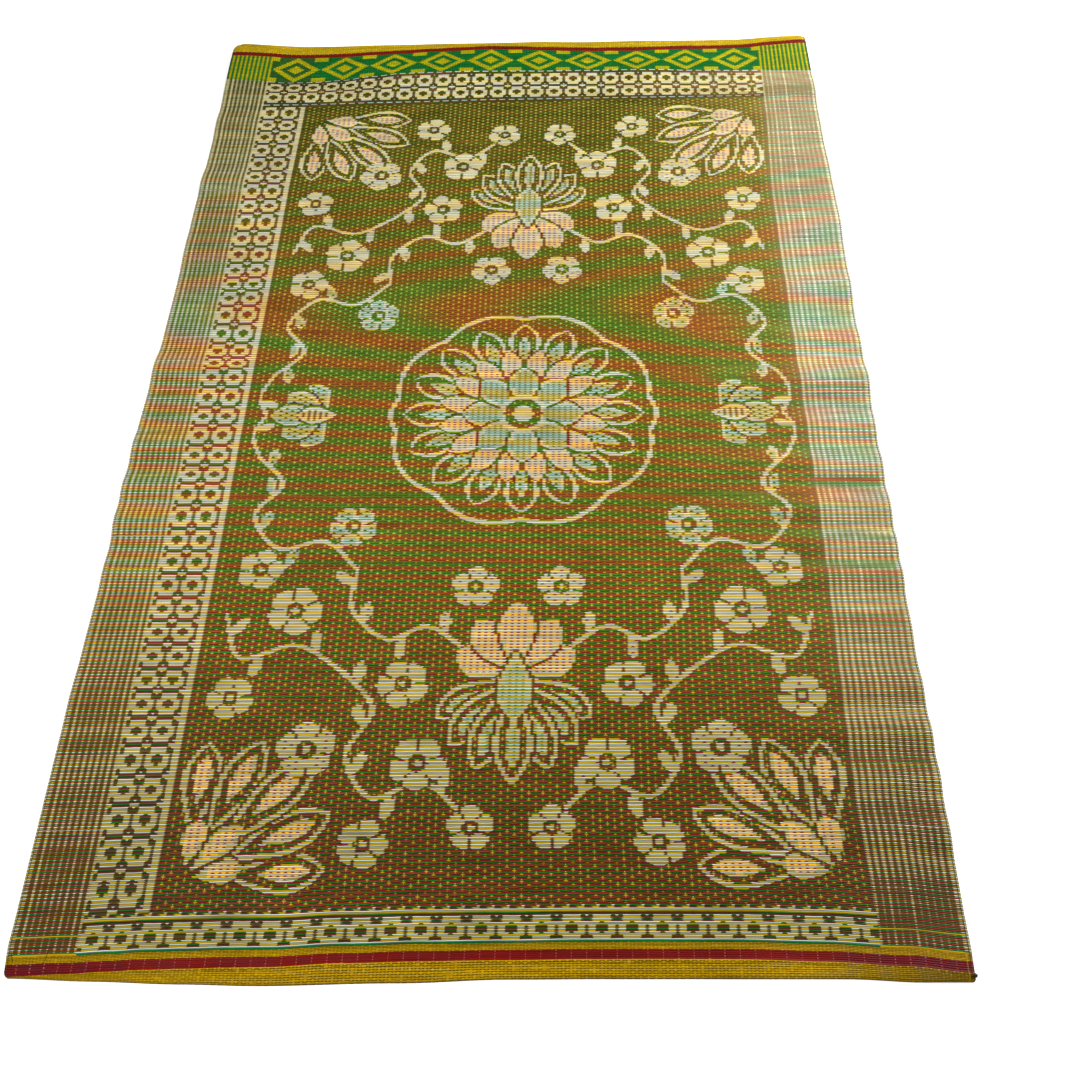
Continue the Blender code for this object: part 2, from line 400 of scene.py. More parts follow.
# %% One ring, and the borders at both ends
RING_CHART = (
    (".#####.#", ".#####.."),
    (".#####..", "=#####=."),
    ("###.###=", "##...##="),
    ("##...##=", "##...##="),
    ("##...##=", "###.###="),
    ("###.###=", "#######."),
    ("=#####=.", ".#####.."),
    (".#####.#", "........"),
    ("#.....##", "#.....##"),
)
NEAR_BORDER_CHART = (
    ("..#...#.", "=##.=##."),
    ("########", "########"),
    ("........", "........"),
    (".#####.#", ".#####.."),
    ("=#####=.", "=#####=."),
    ("###.####", "########"),
    ("##...##=", "##...##="),
    ("##...##=", "##...##="),
    ("###.###=", "#######="),
    (".#####..", ".#####.."),
    ("########", "########"),
)
FAR_BORDER_CHART = (
    (("###.###.", "........"), ("-.-.-.-.", "........"))
    + RING_CHART
    + RING_CHART[:8]
    + (("........", "........"), ("###.###.", "........"), ("........", "...-...-"))
)
SHARES = {"#": 1.0, "=": 0.5, "-": 0.25, ".": 0.0}


def chart_shares(chart):
    """A chart as light shares, one entry for each group, counted from the near end."""
    shares = [[[SHARES[mark] for mark in line] for line in group] for group in reversed(chart)]
    return np.array(shares)[:, ::-1]


def lay_chart(chart, first_group, groups, first_half, halves):
    """Repeat a chart across a stretch of the card; its groups are left out or doubled to fit."""
    shares = chart_shares(chart)
    source = ((np.arange(groups) + 0.5) * len(shares) / groups).astype(int)
    rows = shares[source].reshape(2 * groups, -1)
    columns = np.arange(halves) % shares.shape[2]
    first_row = 2 * first_group
    light[first_row : first_row + 2 * groups, first_half : first_half + halves] = rows[:, columns]


BORDER_HALVES = 2 * (U_MARGIN - U_RINGS)
lay_chart(NEAR_BORDER_CHART, V_BORDER, NEAR_BORDER_GROUPS, 2 * U_RINGS, BORDER_HALVES)
lay_chart(FAR_BORDER_CHART, V_FAR_BORDER, FAR_BORDER_GROUPS, 2 * U_RINGS, BORDER_HALVES)
kind[V_FAR_BORDER + 1, U_RINGS:U_MARGIN] = AQUA_LINE
print("a ring is", len(RING_CHART), "groups long, the far border", len(FAR_BORDER_CHART))

# %% The ring columns, whose rings were beaten up unevenly
RING_CENTRES = np.array(
    [-825.8, -784.1, -739.2, -697.4, -659.2, -613.6, -570.8, -536.5, -500.1, -460.4, -420.5]
    + [-379.8, -339.1, -299.5, -255.3, -213.5, -172.1, -135.0, -96.1, -54.7, -10.5, 29.5, 63.1]
    + [87.8, 129.2, 175.2, 216.3, 249.5, 281.3, 323.1, 367.3, 411.5, 455.7, 496.4, 535.3]
    + [577.8, 617.7, 659.8, 697.3, 733.4]
) * MM
ring_groups = np.interp(RING_CENTRES, MIDDLE_LINE, middle_v)
ring_ends = np.concatenate([[V_FIELD], (ring_groups[1:] + ring_groups[:-1]) / 2, [V_FAR_BORDER]])
ring_ends = ring_ends.round().astype(int)
RING_HALVES = 2 * (U_CREAM - U_RINGS)
for low, high in zip(ring_ends, ring_ends[1:]):
    lay_chart(RING_CHART, low, high - low, 2 * U_RINGS, RING_HALVES)
light[2 * V_FIELD : 2 * V_FAR_BORDER, 2 * U_CREAM : 2 * U_FIELD] = 1.0
print(len(RING_CENTRES), "rings in a column, of", np.diff(ring_ends).min(), "groups or more")

# %% In rings a share covers less than its number, so their gaps stay dark
RING_COVER = 2.7
cover[:, 2 * U_RINGS : 2 * U_CREAM] = RING_COVER
cover[2 * V_BORDER : 2 * V_FIELD] = RING_COVER
cover[2 * V_FAR_BORDER : 2 * V_GREEN] = RING_COVER
cover[2 * V_BORDER : 2 * V_BORDER + 2] = 1.0
print("a half share in a ring covers", round(0.5**RING_COVER, 2))

# %% [markdown]
# ### Margins
# At both sides light and dark half warps take turns all the way along. No two rows look the same,
# partly because the straws aren't equally wide, and partly because the light and dark bands that the
# ripples throw are painted in, as rows where the light straws cover more or less. Tables give the
# tone of each margin at places along it, in millimetres, and a little chance gives the rest.

# %% The tones of the margins, with painted ripple light and shade, as places and values
LEFT_TONES_AND_SHADE = (
    [(-900, 1.05), (-850, 1.15), (-800, 1.0), (-756, 1.25), (-708, 1.1), (-684, 1.2)]
    + [(-660, 1.3), (-636, 1.0), (-612, 1.2), (-588, 1.05), (-540, 1.1), (-492, 1.15)]
    + [(-444, 1.12), (-420, 1.05), (-372, 1.18), (-300, 1.05), (-276, 1.2), (-204, 1.12)]
    + [(-132, 1.0), (-84, 1.1), (-12, 0.95), (12, 0.9), (36, 1.06), (200, 1.0), (420, 0.9)]
    + [(516, 1.05), (800, 1.0)]
)
RIGHT_TONES_AND_SHADE = (
    [(-900, 1.0), (-876, 0.85), (-852, 1.05), (-840, 0.85), (-798, 1.3), (-768, 1.15)]
    + [(-730, 1.0), (-705, 1.35), (-684, 1.3), (-660, 0.82), (-636, 1.25), (-612, 1.1)]
    + [(-588, 1.4), (-560, 1.12), (-528, 1.12), (-486, 1.22), (-456, 1.1), (-444, 0.9)]
    + [(-420, 1.25), (-396, 1.2), (-372, 1.0), (-348, 0.85), (-324, 1.25), (-300, 1.0)]
    + [(-285, 1.25), (-230, 1.15), (-206, 0.95), (-190, 0.6), (-178, 1.15), (-156, 1.15)]
    + [(-108, 1.0), (-72, 1.1), (-36, 0.95), (0, 0.95), (72, 1.15), (108, 0.93), (132, 1.02)]
    + [(204, 0.96), (264, 1.02), (324, 0.92), (380, 0.95), (430, 0.82), (800, 0.82)]
)
print(len(LEFT_TONES_AND_SHADE), "tones on the left,", len(RIGHT_TONES_AND_SHADE), "on the right")

# %% One light and one dark half warp, all the way along
in_margin = (half_of < 2 * U_RINGS) | (half_of >= 2 * U_MARGIN)
on_right = half_of >= 2 * U_MARGIN
light_half = np.where(on_right, half_of % 2 == 0, half_of % 2 == 1)
chance = np.random.default_rng(12)
along_part = (row_of + 0.5) / ROWS


def along_margin(left_values, right_values):
    """Values at four places along each margin, eased over the whole card."""
    places = (0.05, 0.25, 0.5, 0.9)
    left = np.interp(along_part, places, left_values)
    return np.where(on_right, np.interp(along_part, places, right_values), left)


def margin_tone(u, tones):
    """The tone of each row of the card at a warp, from a table."""
    along = on_mat(np.full(ROWS, u), (np.arange(ROWS) + 0.5) / 2)[1] / MM
    return np.interp(along, *zip(*tones))[:, None]


# The tones put painted light and shade of the ripples into the shares of the margins.
tone = np.where(on_right, margin_tone(122.0, RIGHT_TONES_AND_SHADE), margin_tone(5.0, LEFT_TONES_AND_SHADE))
peak = along_margin((0.78, 0.80, 0.86, 0.90), (0.80, 0.80, 0.84, 0.88))
valley = along_margin((0.0, 0.02, 0.05, 0.06), (0.0, 0.03, 0.10, 0.22))
width = along_margin((3.2, 1.7, 1.0, 0.80), (2.5, 1.4, 0.90, 0.8))
warp_strength = chance.uniform(0.80, 1.14, WARPS)[np.arange(HALVES) // 2]
row_strength = chance.uniform(0.80, 1.12, ROWS)[:, None]
most = np.where(on_right, 0.88, 1.0)
peak = np.clip(peak * tone * warp_strength * row_strength, 0.0, most)
valley = np.clip(valley * row_strength + 0.6 * (tone - 1), 0.0, 1.0)
light = np.where(in_margin, np.where(light_half, peak, valley), light)
cover = np.where(in_margin, width / tone**1.5, cover)
print("margin places:", int(in_margin.sum()))

# %% The lines that run into the margins, and the selvedges
LINE_ROW = 2 * (V_FIELD - 6)
full_line = in_margin & (row_of == LINE_ROW)
light = np.where(full_line, 0.6, light)
cover = np.where(full_line, 1.0, cover)
kind[V_BORDER] = GREEN_LINE
light = np.where(in_margin & (row_of == 2 * V_BORDER), 0.35, light)
selvedge = (half_of <= 1) | (half_of >= HALVES - 2)
light = np.where(selvedge, np.clip(0.8 * row_strength, 0.0, 1.0), light)
print("selvedge places:", int(selvedge.sum()))

# %% The bands at both ends
BANDS = (
    (0, V_RED, NEAR_HEM),
    (V_RED, V_YELLOW, RED_BAND),
    (V_YELLOW, V_BORDER, NEAR_HEM),
    (V_GREEN, V_FAR_RED, GREEN_BAND),
    (V_FAR_RED, V_FAR_HEM, RED_BAND),
    (V_FAR_HEM, GROUPS, FAR_HEM),
)
for first, last, band_kind in BANDS:
    kind[first:last] = band_kind
    light[2 * first : 2 * last] = 1.0
    cover[2 * first : 2 * last] = 1.0
print(len(BANDS), "bands,", int((kind != PLAIN).any(axis=1).sum()), "groups in all")

# %% [markdown]
# ### The green band
# The far band is green with a yellow ornament. A row of stepped lozenges with a small one inside
# each is a pattern that weavers use everywhere. It needs only the distance from a lozenge's centre.

# %% Lozenges on the green band
LOZENGE_WARPS = 10.6
band_rows = (row_of >= 2 * V_GREEN) & (row_of < 2 * V_FAR_RED)
band_part = (row_of + 0.5 - 2 * V_GREEN) / (2 * GREEN_GROUPS)
from_middle = np.abs(band_part - 0.5)
from_left = (half_of + 0.5 - 2 * U_RINGS) / 2
from_centre = np.abs(from_left % LOZENGE_WARPS / LOZENGE_WARPS - 0.5)
reach_out = from_centre * 2.05 + from_middle * 2.0
lozenge = ((reach_out > 0.66) & (reach_out < 0.98)) | (reach_out < 0.34)
wedge = (from_centre > 0.36) & (np.abs(from_middle - 0.5) < 0.16)
in_band_middle = (half_of >= 2 * U_RINGS) & (half_of < 2 * U_MARGIN)
yellow_place = (in_band_middle & (lozenge | wedge)) | (in_margin & light_half)
light = np.where(band_rows, np.where(yellow_place, 1.0, 0.0), light)
print("yellow share of the band:", round(float(light[band_rows].mean()), 2))

# %% [markdown]
# ### The ornament of the field
# The field carries a medallion with palmettes, vines and small blossoms. Petals, leaves and vines
# are all distances to simple curves: a petal is the space between two bowed lines, a vine is all
# places within a few millimetres of a curve. One quarter is drawn and mirrored, as on a loom.

# %% A quarter of the field in millimetres from its middle
WARP_PITCH = 9.505
MIDDLE_U, FIELD_MIDDLE = (U_FIELD + U_MARGIN) / 2, -50.0
row_y = np.interp((np.arange(ROWS) + 0.5) / 2, middle_v, MIDDLE_LINE) / MM
field_x = np.abs(((half_of + 0.5) / 2 - MIDDLE_U) * WARP_PITCH)
field_y = np.abs(row_y[:, None] - FIELD_MIDDLE) * np.ones((1, HALVES))
in_field = (half_of >= 2 * U_FIELD) & (half_of < 2 * U_MARGIN)
in_field &= (row_of >= 2 * V_FIELD) & (row_of < 2 * V_FAR_BORDER)
SOLID, RED_DASH, GREEN_DASH, STRIPES, RED_COLUMNS, GREEN_COLUMNS = range(1, 7)
ornament = np.zeros((ROWS, HALVES), int)
quarter = [round(float(part[in_field].max())) for part in (field_x, field_y)]
print("a quarter is", quarter, "mm")


# %% Petals, and what is made of them
def petal(base, angle, length, width, belly=0.62, filling=SOLID, rim=6.5, gap=5.0):
    """Draw a petal from its base outwards; belly moves its widest place towards the tip."""
    turn = math.radians(angle)
    out_x, out_y = field_x - base[0], field_y - base[1]
    along = (out_x * math.cos(turn) + out_y * math.sin(turn)) / length
    aside = np.abs(out_y * math.cos(turn) - out_x * math.sin(turn))
    inside = np.clip(along, 0.0, 1.0)
    half_width = width / 2 * np.sin(math.pi * inside ** (math.log(0.5) / math.log(belly))) ** 0.8
    margin = np.where((along > 0) & (along < 1), half_width - aside, -100.0)
    ornament[margin > -gap] = 0
    ornament[margin > 0] = SOLID
    ornament[margin > rim] = filling


def eyed_petal(base, angle, length, width, belly=0.66, filling=SOLID):
    """An outlined petal that is dark inside and holds a smaller light one near its tip."""
    petal(base, angle, length, width, belly, 0, 7.0)
    turn = math.radians(angle)
    start = (base[0] + 0.36 * length * math.cos(turn), base[1] + 0.36 * length * math.sin(turn))
    petal(start, angle, 0.50 * length, 0.44 * width, 0.60, filling, 4.0, 1.0)


def blossom(centre, size, turn, filling):
    """A small flower with five round petals and a light eye in a dark ring."""
    for index in range(5):
        petal(centre, turn + index * 72, size, size * 0.90, 0.70, filling, 8.0, 4.5)
    away = np.hypot(field_x - centre[0], field_y - centre[1])
    for radius, inside in ((0.46, SOLID), (0.34, 0), (0.14, SOLID)):
        ornament[away < size * radius] = inside


def fan(centre, angle, size, petals, spread, width, filling, inner=0.0, shape=petal):
    """Petals that spread from one place, the middle one last and longest."""
    middle = (petals - 1) / 2
    for index in sorted(range(petals), key=lambda index: -abs(index - middle)):
        off = (index - middle) / max(1, middle)
        turn = angle + off * spread
        out_x, out_y = math.cos(math.radians(turn)), math.sin(math.radians(turn))
        start = (centre[0] + inner * out_x, centre[1] + inner * out_y)
        shape(start, turn, size * (1 - 0.22 * abs(off)), width, 0.64, filling)


print("petal, blossom and fan are ready")


# %% Vines and their leaves
def curve(points, count=60):
    """Places along a smooth curve through a few points, for a vine to follow."""
    points = np.array(points, float)
    knots = np.concatenate([[2 * points[0] - points[1]], points, [2 * points[-1] - points[-2]]])
    places = []
    for index in range(1, len(knots) - 2):
        before, start, end, after = knots[index - 1 : index + 3]
        part = np.linspace(0, 1, count, endpoint=False)[:, None]
        bend = 2 * before - 5 * start + 4 * end - after
        twist = 3 * start - before - 3 * end + after
        places.append(0.5 * (2 * start + (end - before) * part + bend * part**2 + twist * part**3))
    return np.concatenate([*places, knots[-2:-1]])


def vine(points, thick=8.5, leaves=0, leaf=44.0, filling=SOLID):
    """A stem through the points, with leaves on both sides in turn."""
    places = curve(points)
    step = max(1, len(places) // 90)
    near = np.full((ROWS, HALVES), 1e6)
    for x, y in places[::step]:
        near = np.minimum(near, (field_x - x) ** 2 + (field_y - y) ** 2)
    for index in range(leaves):
        at = int((index + 0.6) / leaves * (len(places) - 2))
        ahead = places[at + 1] - places[at]
        turn = math.degrees(math.atan2(ahead[1], ahead[0])) + (52 if index % 2 else -52)
        petal(places[at], turn, leaf, leaf * 0.44, 0.55, filling, 5.0, 3.0)
    ornament[near < (thick / 2) ** 2] = SOLID


END_STEM = [(60, 690), (120, 640), (190, 660), (230, 600), (200, 530), (250, 470)]
SIDE_STEM = [(245, 300), (300, 250), (370, 262), (415, 200), (380, 140), (425, 85)]
vine(END_STEM, 7.5, 5, 40)
vine([(250, 470), (320, 430), (400, 450), (430, 380)], 7.0, 3, 38)
vine(SIDE_STEM, 7.5, 5, 40, GREEN_DASH)
vine([(70, 440), (130, 400), (190, 420), (245, 370), (245, 300)], 7.5, 4, 40, RED_DASH)
vine([(425, 85), (440, 40), (425, 0)], 7.0, 1, 36)
print("light share after the vines:", round(float((ornament > 0)[in_field].mean()), 3))

# %% Palmettes at the ends and in the corners
fan((430, 766), 225, 180, 5, 42, 56, RED_COLUMNS, 48, eyed_petal)
fan((430, 766), 225, 84, 3, 34, 34, RED_COLUMNS, 16)
fan((0, 480), -90, 122, 5, 66, 54, RED_COLUMNS)
fan((0, 480), 90, 164, 7, 60, 54, GREEN_COLUMNS, 0, eyed_petal)
petal((0, 438), 90, 112, 50, 0.6, GREEN_COLUMNS)
fan((322, 0), 0, 96, 5, 62, 44, GREEN_DASH)
petal((306, 0), 0, 68, 36, 0.6, STRIPES)
print("light share with the palmettes:", round(float((ornament > 0)[in_field].mean()), 3))

# %% The medallion
away = np.hypot(field_x, field_y)
turned = np.degrees(np.arctan2(field_y, field_x))
scallop = 214 + 14 * np.abs(np.cos(np.radians(turned * 4.5 + 45)))
ornament[away < scallop + 9] = 0
ornament[(away < scallop) & (away > scallop - 8)] = SOLID
for index in range(16):
    eyed_petal((0, 0), index * 22.5, 198, 54, 0.80, GREEN_DASH)
for index in range(16):
    petal((0, 0), index * 22.5 + 11.25, 140, 34, 0.76, RED_COLUMNS, 5.5, 4.5)
for index in range(8):
    petal((0, 0), index * 45, 100, 50, 0.66, GREEN_COLUMNS, 6.5, 5.0)
for radius, filling in ((40, SOLID), (31, 0), (17, SOLID)):
    ornament[away < radius] = filling
print("light share with the medallion:", round(float((ornament > 0)[in_field].mean()), 3))

# %% Blossoms between the vines: centre, size, turn and filling
BLOSSOMS = (
    ((130, 612), 40, 20, SOLID),
    ((286, 590), 42, 60, RED_DASH),
    ((160, 492), 38, 5, SOLID),
    ((330, 372), 42, 30, SOLID),
    ((64, 332), 36, 50, RED_DASH),
    ((258, 222), 38, 15, GREEN_DASH),
    ((392, 300), 36, 40, SOLID),
    ((404, 512), 34, 10, SOLID),
    ((196, 724), 34, 34, SOLID),
    ((54, 704), 32, 54, SOLID),
)
for centre, size, turn, filling in BLOSSOMS:
    blossom(centre, size, turn, filling)
shown = in_field & (ornament > 0)
print("light share of the field:", round(float(shown.sum() / in_field.sum()), 3))

# %% The ornament's textures go onto the card
group_of = row_of // 2
light = np.where(shown, 1.0, light)
dash = (half_of + 2 * group_of) % 4 == 0
odd_half = half_of % 2 == 1
light = np.where(shown & (ornament == RED_DASH) & dash & ~upper, 0.0, light)
light = np.where(shown & (ornament == GREEN_DASH) & dash & upper, 0.0, light)
light = np.where(shown & (ornament == RED_COLUMNS) & odd_half & ~upper, 0.30, light)
light = np.where(shown & (ornament == GREEN_COLUMNS) & odd_half & upper, 0.42, light)
light = np.where(shown & (ornament == STRIPES) & (half_of % 2 == 0), 0.15, light)
bluish = shown & ((ornament == GREEN_COLUMNS) | (ornament == GREEN_DASH))
reddish = shown & (ornament == RED_COLUMNS)
kind[bluish[1::2, 0::2] | bluish[1::2, 1::2]] = AQUA_LINE
kind[reddish[0::2, 0::2] | reddish[0::2, 1::2]] = PEACH
print("light share of the whole card:", round(float(light.mean()), 3))

# %% [markdown]
# ### Uneven picks
# No long mat is woven without faults. Here and there a whole light straw runs over a margin, and
# some rows of the ground lost their dots. A fixed seed keeps the faults in place on every run.

# %% Faults from a fixed seed
FAULTY_ROWS, DOTLESS_GROUPS = 30, 22


def lighten(row, first, last, more):
    """Let the light straw of a row cover more, between two half warps."""
    light[row, first:last] = np.clip(light[row, first:last] + more, 0.0, 1.0)


first, last = 2 * V_FIELD + 6, 2 * V_FAR_BORDER
for row in chance.choice(np.arange(first, last), FAULTY_ROWS, replace=False):
    side = chance.integers(0, 3)
    more = chance.uniform(0.15, 0.45)
    if side != 1:
        lighten(row, 2, 2 * U_RINGS + (RING_HALVES if chance.random() < 0.3 else 0), more)
    if side != 0:
        lighten(row, 2 * U_MARGIN, HALVES - 2, more)
dotless = np.zeros(GROUPS + 1, bool)
dotless[chance.choice(np.arange(V_FIELD, V_FAR_BORDER), DOTLESS_GROUPS, replace=False)] = True
dotless[[V_FIELD, V_FIELD + 3, V_FIELD + 4]] = True
print("groups without full dots:", int(dotless.sum()))

# %% [markdown]
# ## Straws as mesh
# A flat sheet with a bump texture would look painted from the side. Instead every straw gets two
# strips of faces that rise to a crest, with a sharp edge in each gap, so light and outline show it.
# In the ground the straws also swing round the dots, from warp to warp towards one end and back.

# %% How thick the mat is
STRAW_THICK, HEM_THICK, EDGE_THICK = 0.0020, 0.0038, 0.0012
EDGE_ROUNDING, HEM_STEP = 0.004, 0.003


def thickness(x, y):
    """Thickness of the cloth, doubled in the hems and rounded off at every edge."""
    from_near, from_far = y - near_edge(x), far_edge(x) - y
    near_hem = eased_mm(NEAR_X, RED_TOP, x) - red_height(x) - near_edge(x)
    far_hem = far_edge(x) - eased_mm(FAR_X, FAR_RED_TOP, x)
    into = np.maximum(near_hem - from_near, far_hem - from_far)
    folded = np.clip(0.5 + into / HEM_STEP, 0.0, 1.0)
    full = STRAW_THICK + (HEM_THICK - STRAW_THICK) * folded
    from_side = np.minimum(x - left_edge(y), right_edge(y) - x)
    from_edge = np.clip(np.minimum(from_side, np.minimum(from_near, from_far)), 0.0, EDGE_ROUNDING)
    part = from_edge / EDGE_ROUNDING
    return EDGE_THICK + (full - EDGE_THICK) * np.sqrt(part * (2 - part))


print("thickness in the middle:", float(thickness(np.array(0.0), np.array(0.0))) / MM, "mm")

# %% How dark the card is round a crossing, which makes the straws swing
is_dark = light < 0.5
padded = np.pad((is_dark & in_field).astype(float), 2, mode="edge")
lines_v, lines_u = np.arange(GROUPS + 1), np.arange(WARPS + 1)
swing = np.zeros((GROUPS + 1, WARPS + 1))
for row_step in range(4):
    for half_step in range(4):
        swing += padded[2 * lines_v[:, None] + row_step, 2 * lines_u[None, :] + half_step] / 16
swing = swing**2
print("share of crossings that swing fully:", round(float((swing > 0.9).mean()), 2))

# %% Where the vertices of the straws lie: four lines of them in each group
LINES = 4
GROUND_SWING, FIGURE_SWING, BAND_ZIGZAG = 0.00062, 0.00012, 0.00022
line_number = np.arange(LINES * GROUPS + 1)
all_v = (line_number / LINES)[:, None] * np.ones((1, WARPS + 1))
all_u = np.ones((len(line_number), 1)) * np.arange(WARPS + 1, dtype=float)[None, :]
wider_red = 0.05 * np.interp(all_v, (V_FIELD, V_FAR_BORDER), (1.3, 0.2))
lean = np.array([0.0, 0.5, 1.0, 0.5])[line_number % LINES][:, None] * wider_red
in_bands = (all_v < V_BORDER) | (all_v > V_GREEN)
all_x, all_y = on_mat(all_u, all_v + np.where(in_bands, 0.0, lean))
turn_sign = np.where((lines_v[:, None] + lines_u[None, :]) % 2 == 0, -1.0, 1.0)
boundary = turn_sign * (FIGURE_SWING + (GROUND_SWING - FIGURE_SWING) * swing)
shift = np.zeros_like(all_y)
shift[0::LINES] = boundary
shift[1::LINES] = 0.8 * boundary[:-1]
shift[3::LINES] = 0.8 * boundary[1:]
zigzag = np.where(all_u % 2 == 0, BAND_ZIGZAG, -BAND_ZIGZAG)
band_edge = np.isin(all_v, (V_RED, V_YELLOW, V_GREEN, V_FAR_RED))
all_y = all_y + np.where(in_bands, np.where(band_edge, zigzag, 0.0), shift)
print("grid of", all_x.shape, "points")

# %% How high they stand: a crest on every straw, and a lower one on each group of a band
RELIEF, BAND_RELIEF = 0.00056, 0.00034
straw_crest = np.array([0.0, 1.0, 0.0, 1.0])[line_number % LINES][:, None]
band_crest = np.array([0.0, 0.8, 1.0, 0.8])[line_number % LINES][:, None]
drop = np.where(in_bands, BAND_RELIEF * (1 - band_crest), RELIEF * (1 - straw_crest))
all_z = underside(all_x, all_y) + thickness(all_x, all_y) - drop
ALL_POINTS = over_origin(all_x, all_y, all_z)
print("the highest crest is at", round(float(all_z.max()), 4), "m")

# %% Which crossings show a dot of the straw underneath
ground_group = (is_dark & in_field)[0::2] & (is_dark & in_field)[1::2]
beside = np.pad(ground_group, ((0, 0), (1, 1)), mode="edge")
dot_here = beside[:, 0 : 2 * WARPS + 1 : 2] & beside[:, 1 : 2 * WARPS + 2 : 2]
even_line = (np.arange(GROUPS)[:, None] + np.arange(WARPS)[None, :]) % 2 == 0
FAINT_DOT = 0.4
face_dot = np.where(even_line, dot_here[:, :-1], dot_here[:, 1:]).astype(float)
face_dot[dotless[:GROUPS]] *= FAINT_DOT
print("places with a dot:", int((face_dot > 0.5).sum()))

# %% What each warp's width of a straw shows
beyond = np.pad(light, ((0, 0), (1, 1)), mode="edge")
CELL_LIGHT = np.stack([beyond[:, 0:-2:2], light[:, 0::2], light[:, 1::2], beyond[:, 3::2]], -1)
CELL_COVER = cover[:, 0::2]
print("cells:", CELL_LIGHT.shape)


# %% A piece from arrays
def new_piece(name, points, faces):
    """A mesh object that rides on the mat's body; faces is an array, or a list of tuples."""
    if isinstance(faces, np.ndarray):
        faces = faces.reshape(-1, faces.shape[-1]).tolist()
    mesh = bpy.data.meshes.new(name)
    mesh.from_pydata(points.reshape(-1, 3).tolist(), [], faces)
    mesh.update()
    mesh.shade_smooth()
    piece = bpy.data.objects.new(name, mesh)
    bpy.context.scene.collection.objects.link(piece)
    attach(piece, "root")
    return piece


def face_numbers(piece, name, values):
    """Store one number for each face, for a material to read."""
    layer = piece.data.attributes.new(name, "FLOAT", "FACE")
    layer.data.foreach_set("value", np.asarray(values, np.float32).ravel())


def weave_map(piece, u, v):
    """A UV map that holds the weave's own coordinates."""
    mesh = piece.data
    corner = np.empty(len(mesh.loops), np.int32)
    mesh.loops.foreach_get("vertex_index", corner)
    both = np.stack([u.ravel()[corner], v.ravel()[corner]], axis=-1)
    layer = mesh.uv_layers.new(name="weave")
    layer.uv.foreach_set("vector", both.astype(np.float32).ravel())


def grid_faces(rows, columns, offset=0):
    """Quads between the points of a grid, facing up."""
    first = offset + np.arange(rows - 1)[:, None] * columns + np.arange(columns - 1)[None, :]
    return np.stack([first, first + 1, first + 1 + columns, first + columns], axis=-1)


print("helpers for pieces are ready")

# %% [markdown]
# The straws are cut into ten lengthwise strips, so that each strip can later be baked to a map of
# its own with enough detail. Inside a strip the mesh is cut again in some of the gaps, where the
# real straws don't touch either. The face numbers carry the card: the shares left and right of the
# middle of each warp and beyond, the kind, how much of a dot shows, and how much a share covers.

# %% Ten strips of straws
BLOCK = 28
blocks = list(range(0, GROUPS, BLOCK)) + [GROUPS]
FACE_NUMBERS = ("light_before", "light_left", "light_right", "light_after", "kind", "dot", "cover")


def straw_strip(name, first, last):
    """The straws between two warps, as blocks of rows with a sharp edge in every gap."""
    columns = last - first + 1
    points, places, faces, numbers = [], [], [], []
    offset = 0
    for low, high in zip(blocks, blocks[1:]):
        lines = slice(LINES * low, LINES * high + 1)
        rows = LINES * (high - low) + 1
        here = slice(first, last + 1)
        points.append(ALL_POINTS[lines, here].reshape(-1, 3))
        places.append(np.stack([all_u[lines, here], all_v[lines, here]], -1).reshape(-1, 2))
        faces.append(grid_faces(rows, columns, offset).reshape(-1, 4))
        straw_row = np.arange(LINES * low, LINES * high) // 2
        shares = CELL_LIGHT[straw_row, first:last]
        others = [
            (2 * kind[straw_row // 2, first:last] + 0.5) / (2 * len(KINDS)),
            face_dot[straw_row // 2, first:last],
            CELL_COVER[straw_row, first:last],
        ]
        carried = np.concatenate([shares, np.stack(others, -1)], -1)
        numbers.append(carried.reshape(-1, len(FACE_NUMBERS)))
        offset += rows * columns
    piece = new_piece(name, np.concatenate(points), np.concatenate(faces))
    numbers = np.concatenate(numbers)
    for index, number_name in enumerate(FACE_NUMBERS):
        face_numbers(piece, number_name, numbers[:, index])
    both = np.concatenate(places)
    weave_map(piece, both[:, 0], both[:, 1])
    sharpen_gaps(piece, both[:, 1])
    return piece


def sharpen_gaps(piece, v):
    """Mark the edges that run along a gap as sharp, so that each straw is shaded as round."""
    mesh = piece.data
    ends = np.empty(2 * len(mesh.edges), np.int32)
    mesh.edges.foreach_get("vertices", ends)
    start, end = v[ends[0::2]], v[ends[1::2]]
    in_band = (start < V_BORDER) | (start > V_GREEN)
    gap = (start == end) & (np.mod(start * np.where(in_band, 1, 2), 1) == 0)
    layer = mesh.attributes.new("sharp_edge", "BOOLEAN", "EDGE")
    layer.data.foreach_set("value", gap)


STRIPS = [("straws_left_margin", 0, U_RINGS), ("straws_ring_columns", U_RINGS, U_FIELD)]
cuts = np.linspace(U_FIELD, U_MARGIN, 8).round().astype(int)
STRIPS += [(f"straws_field_{index + 1}", a, b) for index, (a, b) in enumerate(zip(cuts, cuts[1:]))]
STRIPS.append(("straws_right_margin", U_MARGIN, WARPS))
straw_pieces = [straw_strip(*strip) for strip in STRIPS]
print(len(straw_pieces), "strips with", sum(len(p.data.polygons) for p in straw_pieces), "faces")

# %% [markdown]
# ## The cloth underneath
# Under the top straws lies the rest of the cloth, a thin closed sheet whose underside shows the
# same card with light and dark exchanged. A box would do for that, but not on the ripples, so the
# sheet follows the same tables. It stands on the floor, so it takes the packed solid's place.

